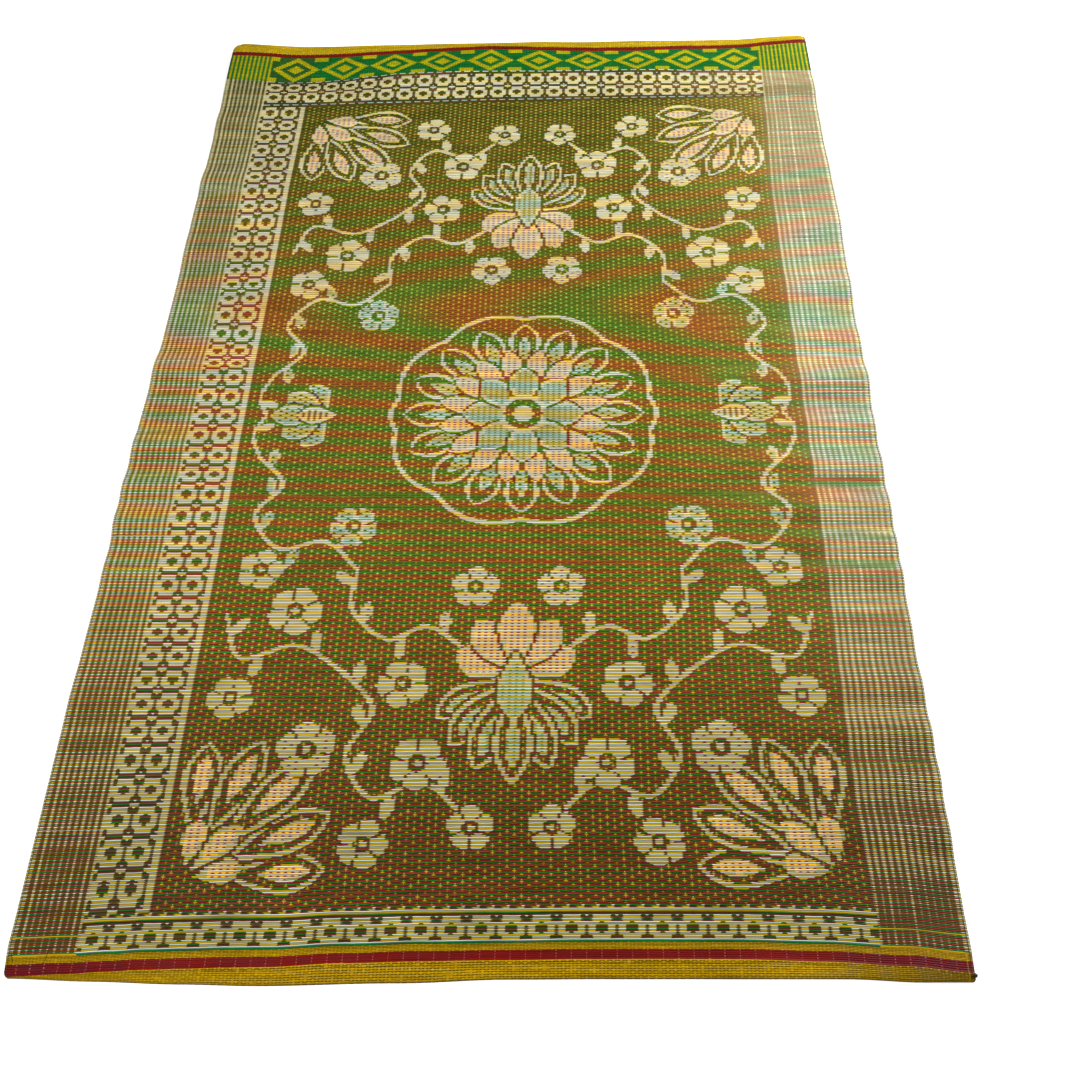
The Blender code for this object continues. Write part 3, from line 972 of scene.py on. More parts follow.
# %% The closed sheet
UNDER_CRESTS, THIN_EDGE, THIN_SHEET = 0.0008, 0.00125, 0.0009
back_u = np.arange(0, WARPS + 1, 2, dtype=float)
back_v = np.arange(0, GROUPS + 1, dtype=float)
sheet_u = np.ones((len(back_v), 1)) * back_u[None, :]
sheet_v = back_v[:, None] * np.ones((1, len(back_u)))
sheet_x, sheet_y = on_mat(sheet_u, sheet_v)
sheet_thick = thickness(sheet_x, sheet_y)
sheet_low = underside(sheet_x, sheet_y)
sheet_high = sheet_low + sheet_thick - UNDER_CRESTS
sheet_high = np.where(sheet_thick < THIN_EDGE, sheet_low + THIN_SHEET, sheet_high)
lower = over_origin(sheet_x, sheet_y, sheet_low)
upper_side = over_origin(sheet_x, sheet_y, sheet_high)
count = sheet_x.size
top_faces = grid_faces(*sheet_x.shape, count)
low_faces = grid_faces(*sheet_x.shape)[..., ::-1]


def rim(rows, columns):
    """The sheet's border vertices in order, all the way round."""
    near = list(range(columns))
    right = [row * columns + columns - 1 for row in range(1, rows)]
    far = [(rows - 1) * columns + column for column in range(columns - 2, -1, -1)]
    left = [row * columns for row in range(rows - 2, 0, -1)]
    return np.array(near + right + far + left)


ring = rim(*sheet_x.shape)
after = np.roll(ring, -1)
rim_faces = np.stack([ring, after, after + count, ring + count], -1)
cloth_back = new_piece(
    "cloth_back",
    np.concatenate([lower.reshape(-1, 3), upper_side.reshape(-1, 3)]),
    np.concatenate([low_faces.reshape(-1, 4), top_faces.reshape(-1, 4), rim_faces]),
)
weave_map(cloth_back, np.tile(sheet_u.ravel(), 2), np.tile(sheet_v.ravel(), 2))
print("cloth_back has", len(cloth_back.data.polygons), "faces")

# %% The underside shows the other straw of each pair
under_light = 1 - (light[0::2] + light[1::2]) / 2
group_number = np.arange(GROUPS)[:, None]
in_end_bands = (group_number < V_BORDER) | (group_number >= V_GREEN)
banded = np.repeat(kind != PLAIN, 2, axis=1) & in_end_bands
under_light = np.where(banded, 1 - under_light, under_light).reshape(GROUPS, WARPS // 2, 4)
under_kind = (2 * kind[:, 0::2] + 0.5) / (2 * len(KINDS))
RIM_SHARE, PLAIN_CODE = 0.5, 0.5 / (2 * len(KINDS))
rim_count = len(rim_faces)
for index, number_name in enumerate(FACE_NUMBERS[:4]):
    values = under_light[..., index].ravel()
    values = np.concatenate([values, values, np.full(rim_count, RIM_SHARE)])
    face_numbers(cloth_back, number_name, values)
values = under_kind.ravel()
face_numbers(cloth_back, "kind", np.concatenate([values, values, np.full(rim_count, PLAIN_CODE)]))
print("underside card:", under_light.shape)

# %% [markdown]
# ## Selvedges
# At both long sides the straws turn round the last warp and go back into the cloth. Small rounded
# ends, one for each straw, give the edge its beaded look. A dark binding thread runs beside them.

# %% Turned straw ends along a side
NUB_SIDES, NUB_HALF_HEIGHT, NUB_RISE = 6, 0.00062, 0.0008
NUB_RINGS = ((-0.0022, 1.0), (0.25, 0.9), (0.75, 0.62), (1.0, 0.12))


def nub_faces(side):
    """The quads of one nub, facing out on either side of the mat."""
    ring = np.arange(NUB_SIDES)
    around = (ring + 1) % NUB_SIDES
    quads = []
    for index in range(len(NUB_RINGS) - 1):
        a, b = index * NUB_SIDES + ring, index * NUB_SIDES + around
        quad = np.stack([a, b, b + NUB_SIDES, a + NUB_SIDES], -1)
        quads.append(quad if side > 0 else quad[:, ::-1])
    return np.concatenate(quads)


def straw_ends(name, side):
    """One rounded nub for each straw of the field and the borders, at the left or right edge."""
    rows = np.arange(2 * V_BORDER, 2 * V_GREEN)
    v = (rows + 0.5) / 2
    edge_u = np.full(len(rows), 0.0 if side < 0 else float(WARPS))
    x, y = on_mat(edge_u, v)
    _, y_next = on_mat(edge_u, v + 0.5)
    pitch = np.abs(y_next - y)
    long = 0.0004 + 0.0005 * chance.random(len(rows))
    angles = np.arange(NUB_SIDES) * 2 * math.pi / NUB_SIDES
    base_z = underside(x, y) + NUB_RISE
    points = np.zeros((len(rows), len(NUB_RINGS), NUB_SIDES, 3))
    for index, (out, size) in enumerate(NUB_RINGS):
        reach = out if out < 0 else out * long
        ring_y = y[:, None] + (pitch * 0.40 * size)[:, None] * np.cos(angles)
        points[:, index, :, 0] = (x + side * reach)[:, None]
        points[:, index, :, 1] = ring_y - MIDDLE_Y
        points[:, index, :, 2] = base_z[:, None] + NUB_HALF_HEIGHT * size * np.sin(angles)
    faces = nub_faces(side)
    first = np.arange(len(rows)) * len(NUB_RINGS) * NUB_SIDES
    piece = new_piece(name, points, faces[None] + first[:, None, None])
    end_light = np.repeat(chance.choice([1.0, 0.9, 0.6], len(rows)), len(faces))
    for number_name in FACE_NUMBERS[:4]:
        face_numbers(piece, number_name, end_light)
    face_numbers(piece, "kind", np.full(len(end_light), PLAIN_CODE))
    ring_number = np.arange(len(NUB_RINGS))[None, :, None] * np.ones((len(rows), 1, NUB_SIDES))
    weave_map(piece, 0.1 + 0.1 * ring_number, v[:, None, None] + 0.0 * ring_number)
    return piece


left_ends = straw_ends("straw_ends_left", -1)
right_ends = straw_ends("straw_ends_right", 1)
print("straw ends:", len(left_ends.data.polygons) + len(right_ends.data.polygons), "faces")


# %% The binding thread beside the ends
def tube(name, centres, radius, sides=6):
    """A closed tube along a line of places; radius may change along it."""
    centres = np.asarray(centres, float)
    ahead = np.gradient(centres, axis=0)
    ahead /= np.linalg.norm(ahead, axis=1)[:, None]
    aside = np.cross(ahead, [0.0, 0.0, 1.0])
    aside /= np.linalg.norm(aside, axis=1)[:, None]
    above = np.cross(aside, ahead)
    angles = (np.arange(sides) * 2 * math.pi / sides)[None, :, None]
    size = np.broadcast_to(np.asarray(radius, float), (len(centres),))[:, None, None]
    circle = np.cos(angles) * aside[:, None] + np.sin(angles) * above[:, None]
    points = (centres[:, None] + size * circle).reshape(-1, 3)
    ring, around = np.arange(sides), (np.arange(sides) + 1) % sides
    first = (np.arange(len(centres) - 1) * sides)[:, None]
    last = (len(centres) - 1) * sides
    corners = [first + ring, first + around, first + sides + around, first + sides + ring]
    quads = np.stack(corners, -1).reshape(-1, 4)[:, ::-1].tolist()
    start, end = len(points), len(points) + 1
    points = np.concatenate([points, centres[:1], centres[-1:]])
    caps = [(start, b, a) for a, b in zip(ring, around)]
    caps += [(end, last + a, last + b) for a, b in zip(ring, around)]
    return new_piece(name, points, quads + caps)


THREAD_INSET, THREAD_DIP = 0.0030, 0.00012


def binding(name, side, radius):
    """A thread along the edge that dips between the straws."""
    v = np.arange(2.0, GROUPS - 1.0, 0.5)
    edge_u = np.full(len(v), 0.0 if side < 0 else float(WARPS))
    x, y = on_mat(edge_u, v)
    x = x - side * THREAD_INSET
    z = underside(x, y) + thickness(x, y) + THREAD_DIP * np.cos(2 * math.pi * v)
    return tube(name, over_origin(x, y, z), radius)


left_thread = binding("binding_thread_left", -1, 0.00026)
right_thread = binding("binding_thread_right", 1, 0.00034)
print("binding threads:", len(left_thread.data.polygons) + len(right_thread.data.polygons), "faces")

# %% [markdown]
# Two loose ends spoil the tidy edge: a pair of fine dark fibres that lie on the near left corner,
# and the small hard knot in which the binding of the right side ends. Each is a tube along a short
# curve, like the binding, because that follows the cloth and needs few faces.

# %% Loose fibres and the end of the binding
FIBRE_RADIUS, KNOT_RISE = 0.00022, 0.0026
FIBRES = {
    "fibre_1": [(-602.0, -914.6), (-598.6, -922.7), (-595.2, -929.4)],
    "fibre_2": [(-554.2, -912.9), (-555.1, -923.7), (-557.6, -930.2), (-566.7, -931.8)],
}
KNOT_LINE = np.array([[594, -942.5], [597.4, -941.6], [600.4, -941.2], [602.2, -941.4]]) * MM
KNOT_RADII = (0.0012, 0.0026, 0.0027, 0.0014)


def on_cloth_line(name, places, radius):
    """A fine fibre that lies on the cloth along a few places, given in millimetres."""
    line = curve(places, 8) * MM
    x, y = line[:, 0], line[:, 1]
    z = underside(x, y) + thickness(x, y) + radius
    return tube(name, over_origin(x, y, z), radius)


fibres = [on_cloth_line(name, places, FIBRE_RADIUS) for name, places in FIBRES.items()]
knot_x, knot_y = KNOT_LINE[:, 0], KNOT_LINE[:, 1]
knot_places = over_origin(knot_x, knot_y, underside(knot_x, knot_y) + KNOT_RISE)
binding_knot = tube("binding_knot", knot_places, KNOT_RADII, 10)
print("fibres and knot:", sum(len(one.data.polygons) for one in [*fibres, binding_knot]), "faces")

# %% [markdown]
# ## Materials
# Shader maths is easier to read as sums than as a web of nodes. The class below wraps one socket,
# so that `wire * 2 + 1` adds the Math nodes by itself. Every other node comes from `node`.


# %% A socket that can be written in sums
class Wire:
    """One socket of a material. Sums of wires and numbers add Math nodes."""

    def __init__(self, tree, socket=None):
        self.tree = tree
        self.socket = socket

    def node(self, kind, settings, inputs, output=0):
        """Add any node: its settings first, then values or wires for its sockets."""
        made = self.tree.nodes.new(kind)
        for name, value in settings.items():
            if name == "stops":
                lay_stops(made.color_ramp, value)
            else:
                setattr(made, name, value)
        for name, value in inputs.items():
            socket = next(s for s in made.inputs if name in (s.identifier, s.name) and s.enabled)
            if isinstance(value, Wire):
                self.tree.links.new(value.socket, socket)
            else:
                socket.default_value = value
        found = made.outputs[output] if isinstance(output, int) else None
        if found is None:
            found = next(s for s in made.outputs if output in (s.identifier, s.name) and s.enabled)
        return Wire(self.tree, found)

    def math(self, operation, *values):
        made = self.tree.nodes.new("ShaderNodeMath")
        made.operation = operation
        for socket, value in zip(made.inputs, values):
            if isinstance(value, Wire):
                self.tree.links.new(value.socket, socket)
            else:
                socket.default_value = value
        return Wire(self.tree, made.outputs[0])

    def __add__(self, other):
        return self.math("ADD", self, other)

    def __sub__(self, other):
        return self.math("SUBTRACT", self, other)

    def __rsub__(self, other):
        return self.math("SUBTRACT", other, self)

    def __mul__(self, other):
        return self.math("MULTIPLY", self, other)

    def __truediv__(self, other):
        return self.math("DIVIDE", self, other)

    def __mod__(self, other):
        return self.math("FLOORED_MODULO", self, other)

    def __pow__(self, other):
        return self.math("POWER", self, other)

    def __gt__(self, other):
        return self.math("GREATER_THAN", self, other)

    def __lt__(self, other):
        return self.math("LESS_THAN", self, other)

    __radd__ = __add__
    __rmul__ = __mul__

    def fraction(self):
        return self.math("FRACT", self)

    def whole(self):
        return self.math("FLOOR", self)

    def size(self):
        return self.math("ABSOLUTE", self)


def lay_stops(ramp, stops):
    """Fill a colour ramp; its stops hold one colour each up to the next."""
    ramp.interpolation = "CONSTANT"
    while len(ramp.elements) > 1:
        ramp.elements.remove(ramp.elements[-1])
    for index, (place, colour) in enumerate(stops):
        element = ramp.elements[0] if index == 0 else ramp.elements.new(place)
        element.position = place
        element.color = colour


print("Wire is ready")


# %% Colours as the eye sees them, turned into the renderer's numbers
def linear(red, green, blue):
    """A colour in the 0 to 255 of a paint program, as the four numbers of a socket."""

    def one(value):
        part = value / 255
        return part / 12.92 if part <= 0.04045 else ((part + 0.055) / 1.055) ** 2.4

    return (one(red), one(green), one(blue), 1.0)


def kind_stops(low, high):
    """Ramp stops that turn a kind into a colour, for the lower and the upper row of a group."""
    letters = [letter for one in KINDS for letter in (getattr(one, low), getattr(one, high))]
    colours = [linear(*STRAWS[letter][1:]) for letter in letters]
    return [(index / len(letters), colour) for index, colour in enumerate(colours)]


LIGHT_STOPS = kind_stops("low_light", "high_light")
DARK_STOPS = kind_stops("low_dark", "high_dark")
print("white straw:", [round(value, 3) for value in LIGHT_STOPS[1][1]])


# %% Small shorthands for a material
def start_material(name):
    """A material with one Principled shader, and a wire to write its sums with."""
    material = bpy.data.materials.new(name)
    material.use_nodes = True
    shader = material.node_tree.nodes["Principled BSDF"]
    return material, shader, Wire(material.node_tree)


def plug(wire, shader, name):
    wire.tree.links.new(wire.socket, shader.inputs[name])


def blend(share, first, second):
    """Mix two colours; share is a wire, the colours are wires or four numbers."""
    inputs = {"Factor_Float": share, "A_Color": first, "B_Color": second}
    return share.node("ShaderNodeMix", {"data_type": "RGBA"}, inputs, "Result_Color")


def scaled(colour, factor):
    """A colour times a number, by Vector Math, because a Math node would turn it grey."""
    inputs = {"Vector": colour, "Scale": factor}
    return factor.node("ShaderNodeVectorMath", {"operation": "SCALE"}, inputs)


def smooth_step(wire, low, high):
    """0 below low, 1 above high, and a soft change between them."""
    inputs = {"Value": wire, "From Min": low, "From Max": high}
    return wire.node("ShaderNodeMapRange", {"interpolation_type": "SMOOTHSTEP"}, inputs)


def number_of(start, name):
    """A number that the faces carry."""
    return start.node("ShaderNodeAttribute", {"attribute_name": name}, {}, "Fac")


def noise(start, x, y, detail=0.0):
    """Soft noise over two numbers."""
    place = start.node("ShaderNodeCombineXYZ", {}, {"X": x, "Y": y})
    inputs = {"Vector": place, "Scale": 1.0, "Detail": detail}
    return start.node("ShaderNodeTexNoise", {"noise_dimensions": "2D"}, inputs)


print("material helpers are ready")

# %% [markdown]
# ### The straw finish
# The real straws are thin glossy tubes, and each has a slightly different tone. Their colour gets a
# painted shade, darker where they meet and lighter on their backs. One long sum could say all that,
# but it is easier to read in steps: where a place lies in the weave, which straw shows there and in
# what colour, the painted shade of the gaps, the dots, the bands, and last the streaks of the
# plastic.
# The steps share `at`, a record of wires.


# %% Where a place lies in the weave
def between(wire, low, high):
    """1 between two numbers and 0 outside them."""
    return (wire > low) * (wire < high)


def weave_places(start, on_top):
    """The wires that say where a place is in its straw, and of which kind that straw is."""
    place = start.node("ShaderNodeUVMap", {"uv_map": "weave"}, {})
    u = start.node("ShaderNodeSeparateXYZ", {}, {"Vector": place}, "X")
    v = start.node("ShaderNodeSeparateXYZ", {}, {"Vector": place}, "Y")
    at = SimpleNamespace(start=start, on_top=on_top, u=u, v=v)
    at.group, at.straw = v.whole(), (v * 2).whole()
    at.high_row = v.fraction() > 0.5
    at.low_row = 1 - at.high_row
    at.in_straw = (v * 2).fraction()
    at.from_far = 1 - at.in_straw
    at.code = number_of(start, "kind") + at.high_row / (2 * len(KINDS))
    at.plain = at.code < (PLAIN + 1) / len(KINDS)
    at.green_line = between(at.code, GREEN_LINE / len(KINDS), (GREEN_LINE + 1) / len(KINDS))
    at.band = at.code > NEAR_HEM / len(KINDS)
    return at


print("kinds from", round(NEAR_HEM / len(KINDS), 3), "up are the cloth of the bands")


# %% Soft regions of the mat
def add_regions(at):
    """Where the borders are, and where light and sheen are painted on the straws, as wires from 0 to
    1.
    """
    along = at.v / GROUPS
    # Painted light: the straws are painted lighter away from the near end, and paler towards the far
    # end.
    at.off_near = smooth_step(along, 0.08, 0.40)
    at.far_part = smooth_step(along, 0.50, 0.92)
    # Painted sheen over the right part of the field and margin.
    at.haze = smooth_step(along, 0.12, 0.45) * smooth_step(at.u, 82.0, 118.0)
    # A second painted sheen, on the right margin.
    at.pale = smooth_step(along, 0.12, 0.52) * smooth_step(at.u, U_MARGIN - 4, U_MARGIN + 4)
    if at.on_top:
        at.pale = at.pale * (1 - 0.8 * smooth_step(number_of(at.start, "cover"), 1.4, 2.2))
    inner = between(at.u, U_FIELD, U_MARGIN)
    at.in_field = inner * between(at.v, V_FIELD, V_FAR_BORDER)
    at.in_rings = between(at.u, U_RINGS, U_FIELD) + inner * between(at.v, V_BORDER, V_FIELD)
    at.in_margins = (at.u < U_RINGS) + (at.u > U_MARGIN)


print("add_regions:", add_regions.__doc__)


# %% How much of a straw shows its light partner
def light_share(at):
    """The card's share at a place, eased between the middles of the half warps."""
    shares = [number_of(at.start, number_name) for number_name in FACE_NUMBERS[:4]]
    if at.on_top:
        in_cell, centres = at.u.fraction(), (-0.25, 0.25, 0.75, 1.25)
    else:
        in_cell, centres = (at.u * 0.5).fraction(), (0.125, 0.375, 0.625, 0.875)
    share = shares[0]
    for before, after, low, high in zip(shares, shares[1:], centres, centres[1:]):
        share = share + (after - before) * smooth_step(in_cell, low, high)
    if at.on_top:
        share = share ** number_of(at.start, "cover")
    return share


print("light_share:", light_share.__doc__)

# %% Tints that lie over the straws, as painted light and painted sheen
TINTS = {
    # Off the near end and at the far end the tints are painted light; the pale pairs and the dark
    # tint of the right side are painted sheen.
    "light off the near end": ((208, 164, 0), (236, 250, 240)),
    "light at the far end": ((206, 174, 40), (226, 242, 230)),
    "light and pale": ((210, 190, 92), (230, 246, 242)),
    "dark off the near end": ((172, 46, 22), (0, 182, 54)),
    "dark at the far end": ((88, 46, 14), (48, 128, 26)),
    "dark in the haze": ((206, 96, 54), (96, 188, 84)),
    "dark and pale": ((196, 88, 70), (50, 168, 122)),
    "dot off the near end": ((226, 180, 34), (180, 200, 76)),
}


def row_tint(at, name):
    """A pair of tints: the first for the lower row of a group, the second for the upper one."""
    low, high = TINTS[name]
    return blend(at.high_row, linear(*low), linear(*high))


def layered(colour, *layers):
    """Lay tints over a colour in turn; each layer is a share and a tint."""
    for share, tint in layers:
        colour = blend(share, colour, tint)
    return colour


print(len(TINTS), "pairs of tints")

# %% [markdown]
# A straw isn't the same all over. Its far slope shows more of the red straw behind it and its near
# slope more of the green one before it, so the ground looks browner from one end and greener from
# the other. Light is painted in as well: away from the near end the straws are painted lighter and
# paler, and the right side and the far right of the mat get a painted sheen from further pairs of
# tints.


# %% The colours of a light and a dark straw
def straw_colours(at, share):
    """Colour ramps give each kind its colours, and layers of tint change them over the mat, some as
    painted light and sheen.
    """
    light = at.start.node("ShaderNodeValToRGB", {"stops": LIGHT_STOPS}, {"Fac": at.code}, "Color")
    dark = at.start.node("ShaderNodeValToRGB", {"stops": DARK_STOPS}, {"Fac": at.code}, "Color")
    patchy = noise(at.start, at.u * 0.06, at.v * 0.35)
    off_near, far_part = at.off_near * at.plain, at.far_part * at.plain
    haze, pale = at.haze * at.plain, at.pale * at.plain
    far_slope = smooth_step(at.in_straw, 0.60, 0.92) * at.high_row
    near_slope = (1 - smooth_step(at.in_straw, 0.12, 0.42)) * at.low_row * at.in_field
    cut_end = smooth_step(1 - share, 0.1, 0.6) * smooth_step(at.from_far, 0.2, 0.7) * at.low_row
    # Off the near end and at the far end the tints are painted light; on the right they are painted
    # sheen.
    dark = layered(
        dark,
        (at.in_rings * at.low_row * 0.55, linear(64, 44, 20)),
        (off_near, row_tint(at, "dark off the near end")),
        (far_part * (0.35 + patchy), row_tint(at, "dark at the far end")),
        (haze * 0.50, row_tint(at, "dark in the haze")),
        (far_slope * off_near * 0.65, linear(142, 50, 20)),
        (near_slope * off_near * 0.42, linear(24, 136, 40)),
        (pale * 0.85, row_tint(at, "dark and pale")),
    )
    # The light straws get the same painted light and painted sheen.
    light = layered(
        light,
        (off_near, row_tint(at, "light off the near end")),
        (far_part, row_tint(at, "light at the far end")),
        (pale, row_tint(at, "light and pale")),
        (cut_end * (1 - at.band) * 0.5, linear(176, 80, 8)),
    )
    return light, dark


print("straw_colours:", straw_colours.__doc__)


# %% The painted shade in the gaps between the straws
def straw_shade(at, shows_light):
    """Painted shade: how much darker a place is than its straw's back; light straws stay lighter."""
    # Dark straws get a painted shade towards the gaps, darkest under the upper row of a group.
    gap_start = (0.30 - 0.04 * at.off_near) * at.high_row
    near_dark = smooth_step(at.in_straw, gap_start, 0.30 + gap_start) * (0.62 + 0.35 * at.high_row)
    near_dark = near_dark + 0.38 - 0.35 * at.high_row - 0.15 * at.off_near * at.low_row
    dark_shade = near_dark * (0.55 + 0.45 * smooth_step(at.from_far, 0.0, 0.22))
    # The painted shade is opened on the green line, in the margins and under the painted sheen.
    opened = 0.10 * at.haze + 0.50 * at.pale + 0.25 * at.in_margins
    opened = at.green_line + (1 - at.green_line) * opened
    dark_shade = dark_shade + (1 - dark_shade) * opened
    # Light straws get a lighter painted shade; away from the near end and in the painted sheen it is
    # lighter still.
    least = 0.26 + 0.28 * at.off_near + 0.30 * at.pale
    near_light = smooth_step(at.in_straw, 0.02 + 0.28 * at.high_row, 0.28 + 0.34 * at.high_row)
    near_light = least + (1 - least) * near_light
    light_shade = near_light * (0.50 + 0.50 * smooth_step(at.from_far, 0.0, 0.20))
    return dark_shade + (light_shade - dark_shade) * shows_light


print("straw_shade:", straw_shade.__doc__)

# %% The dots of the ground
DOT_WIDTH, DOT_HEIGHT = 0.25, 0.19


def luck_of(start, x, y):
    """A random number for each pair of whole numbers."""
    place = start.node("ShaderNodeCombineXYZ", {}, {"X": x, "Y": y})
    settings = {"noise_dimensions": "2D"}
    return start.node("ShaderNodeTexWhiteNoise", settings, {"Vector": place}, "Value")


def add_dots(at, colour, shade, shows_light):
    """Lens-shaped dots where the straw underneath shows, with a fine tip over or under some."""
    dot = number_of(at.start, "dot")
    across = at.u - at.group + 1
    luck = luck_of(at.start, (across * 0.5).whole(), at.group)
    beside = (across % 2 - 1).size()
    half_width = DOT_WIDTH + 0.09 * luck + 0.03 * at.off_near + 0.04 * at.far_part
    lens = (1 - (beside / half_width) ** 2) * dot
    tall = DOT_HEIGHT + 0.10 * at.low_row + 0.08 * luck
    from_middle = at.in_straw * at.high_row + at.from_far * at.low_row
    in_dot = smooth_step(lens * tall - from_middle, -0.05, 0.07)
    glow = (1 - smooth_step(beside, 0.15, 0.75)) * dot * at.low_row * (1 - shows_light)
    tip = (1 - smooth_step(beside, 0.03, 0.10)) * dot
    above = tip * at.high_row * (luck > 0.4) * smooth_step(at.in_straw, 0.2, 0.6)
    below = tip * at.low_row * ((luck * 7).fraction() > 0.45) * smooth_step(at.from_far, 0.2, 0.6)
    # Painted light: the dots are painted lighter and paler away from the near end.
    dot_colour = layered(
        linear(172, 148, 8),
        (at.off_near, row_tint(at, "dot off the near end")),
        (at.far_part * 0.8, linear(188, 192, 70)),
    )
    colour = layered(
        colour,
        (glow * 0.40, linear(160, 64, 22)),
        (in_dot, dot_colour),
        (above * 0.8, linear(196, 196, 110)),
        (below * 0.7, linear(212, 150, 96)),
    )
    shade = shade + (1 - shade) * in_dot
    return colour, shade + (0.95 - shade) * (above + below) * 0.8


print("add_dots:", add_dots.__doc__)

# %% [markdown]
# The hems and bands are woven finer and beaten up harder, so their straws look like small bricks. In
# the red band the warps show as pale points. The gaps between the bricks get a painted shade, and the
# near hem gets a line of painted shade along its fold, where the doubled cloth ends, and more painted
# shade at its rounded near edge. It gets darker towards the right corner, and the yellow band is
# painted darker just under the green line, a painted shade. Tints and shades are enough for all of
# it, because the relief of the bands is already in the mesh.


# %% Where the bricks and gaps of the bands lie, and the painted shade along the fold
def add_bricks(at):
    """The gaps between the bricks of a band, and a line of painted shade along the fold of the near
    hem.
    """
    u, v = at.u, at.v
    at.luck = luck_of(at.start, (u * 2).whole(), at.group)
    at.from_pin = ((u + 0.75).fraction() - 0.5).size()
    at.from_pair = (((u + 0.25) * 0.5 + 0.5).fraction() - 0.5).size() * 2
    from_brick = ((u + 0.75 + 0.5 * (at.group % 2)).fraction() - 0.5).size()
    at.in_hem = (v < V_RED) + (v > V_FAR_HEM)
    at.in_red = between(v, V_RED, V_YELLOW)
    at.end_part = smooth_step((u - WARPS / 2).size(), 38.0, 60.0)
    opened = smooth_step(at.from_pair, 0.0, 0.16)
    opened = opened + (smooth_step(from_brick, 0.02, 0.22) - opened) * (1 - at.in_red)
    gap = smooth_step((v.fraction() - 0.5).size(), 0.16, 0.38) * opened * (at.luck > 0.08)
    at.gap = gap * (1 - at.in_red * (0.85 - 0.5 * at.end_part))
    # A line of painted shade along the step where the doubled hem ends; the bump dents it too.
    fold = noise(at.start, u * 0.09, 0.0) * 2.0 + V_RED * 0.70
    crack = 1 - smooth_step((v - fold).size(), 0.10, 0.34)
    at.crack = crack * (v < V_RED) * (at.luck > 0.25)


def band_shade(at):
    """Painted shade of a hem or band: its gaps, its fold, its near edge and under the border; darker
    to the right.
    """
    # Painted shade in the gaps between the bricks, over a random tone.
    shade = (0.92 + at.luck * 0.22 * (1 - at.in_red)) * (1 - at.gap * 0.86)
    # Painted shade along the fold and at the rounded near edge of the hem.
    shade = shade * (1 - at.crack * 0.55) * (0.36 + 0.64 * smooth_step(at.v, 0.0, 0.8))
    shade = shade * (0.96 - 0.50 * smooth_step(at.u, 106.0, 127.0) * (at.v < V_RED))
    # Painted shade on the yellow band just under the green line.
    under_border = smooth_step(at.v, V_YELLOW + 1.5, V_BORDER) * between(at.v, V_YELLOW, V_BORDER)
    return shade * (1 - 0.30 * under_border)


print("band_shade:", band_shade.__doc__)


# %% Points and edges of the bands
def band_marks(at):
    """Layers for the pale points of the bands and the edges where two bands meet."""
    u, v = at.u, at.v
    teeth = between(v, V_RED - 0.8 * at.from_pin, V_RED)
    in_red = (v - V_RED) / RED_GROUPS
    dotted = smooth_step(((in_red * 3.3).fraction() - 0.5).size(), 0.22, 0.40)
    pin = 1 - smooth_step(at.from_pair, 0.02, 0.08 + 0.06 * at.end_part)
    column = (1 - smooth_step(at.from_pin, 0.02, 0.10)) * at.in_hem * (v > 0.8)
    column = column * (0.04 + 0.40 * (1 - smooth_step((v - V_RED * 0.64).size(), 0.15, 0.4)))
    column = column * at.luck * 2.2 * smooth_step(noise(at.start, u * 0.05, 3.0), 0.40, 0.62)
    under_red = 1 - smooth_step((v - V_RED + 0.6).size(), 0.2, 0.45)
    side_line = (1 - smooth_step((u - 127.2).size(), 0.04, 0.10)) * (v < V_BORDER)
    return (
        (at.in_red * at.end_part * 0.40, linear(88, 14, 32)),
        (teeth * 0.9, linear(118, 16, 14)),
        (dotted * pin * at.in_red * (0.20 + 0.5 * at.luck), linear(206, 130, 132)),
        (column, linear(212, 190, 96)),
        (under_red * smooth_step(at.from_pin, 0.34, 0.44) * 0.6, linear(212, 182, 16)),
        (side_line * 0.30, linear(190, 160, 20)),
    )


print("band_marks:", band_marks.__doc__)

# %% Build the straw material
STREAK_DEPTH, STRAW_SPECULAR = 0.0005, 0.06


def straw_material(name, on_top):
    """The finish of the straws, with its painted light, shade and sheen, on the mat's face or on its
    underside.
    """
    material, shader, start = start_material(name)
    at = weave_places(start, on_top)
    add_regions(at)
    add_bricks(at)
    share = light_share(at)
    light_straw, dark_straw = straw_colours(at, share)
    shows_light = smooth_step(share * 1.16 - 0.08 - at.from_far, -0.08, 0.08)
    colour = blend(shows_light, dark_straw, light_straw)
    shade = straw_shade(at, shows_light)
    if on_top:
        colour, shade = add_dots(at, colour, shade, shows_light)
    shade = shade + (band_shade(at) - shade) * at.band

    tone = noise(start, at.u * 0.12, at.straw * 0.73)
    streak = noise(start, at.u * 1.4, at.v * 22, 3.0)
    patch = noise(start, at.u * 0.05, at.v * 0.05, 1.0)
    shade = shade * (0.62 + tone * 0.76) * (0.88 + streak * 0.24) * (0.88 + patch * 0.24)
    plug(layered(scaled(colour, shade), *band_marks(at)), shader, "Base Color")

    round_back = at.in_straw * at.from_far * 4
    plug(0.28 + 0.16 * (1 - round_back) + streak * 0.12, shader, "Roughness")
    height = round_back * 0.7 * (1 - at.band) + streak * 0.15
    height = height - at.gap * at.band * 0.6 - at.crack * 0.6
    bump_inputs = {"Height": height, "Strength": 0.5, "Distance": STREAK_DEPTH}
    plug(start.node("ShaderNodeBump", {}, bump_inputs), shader, "Normal")
    shader.inputs["Specular IOR Level"].default_value = STRAW_SPECULAR
    return material


straws_top = straw_material("woven_straws", True)
straws_under = straw_material("woven_straws_underside", False)
for piece in straw_pieces:
    piece.data.materials.append(straws_top)
for piece in (cloth_back, left_ends, right_ends):
    piece.data.materials.append(straws_under)
print("straw material with", len(straws_top.node_tree.nodes), "nodes")

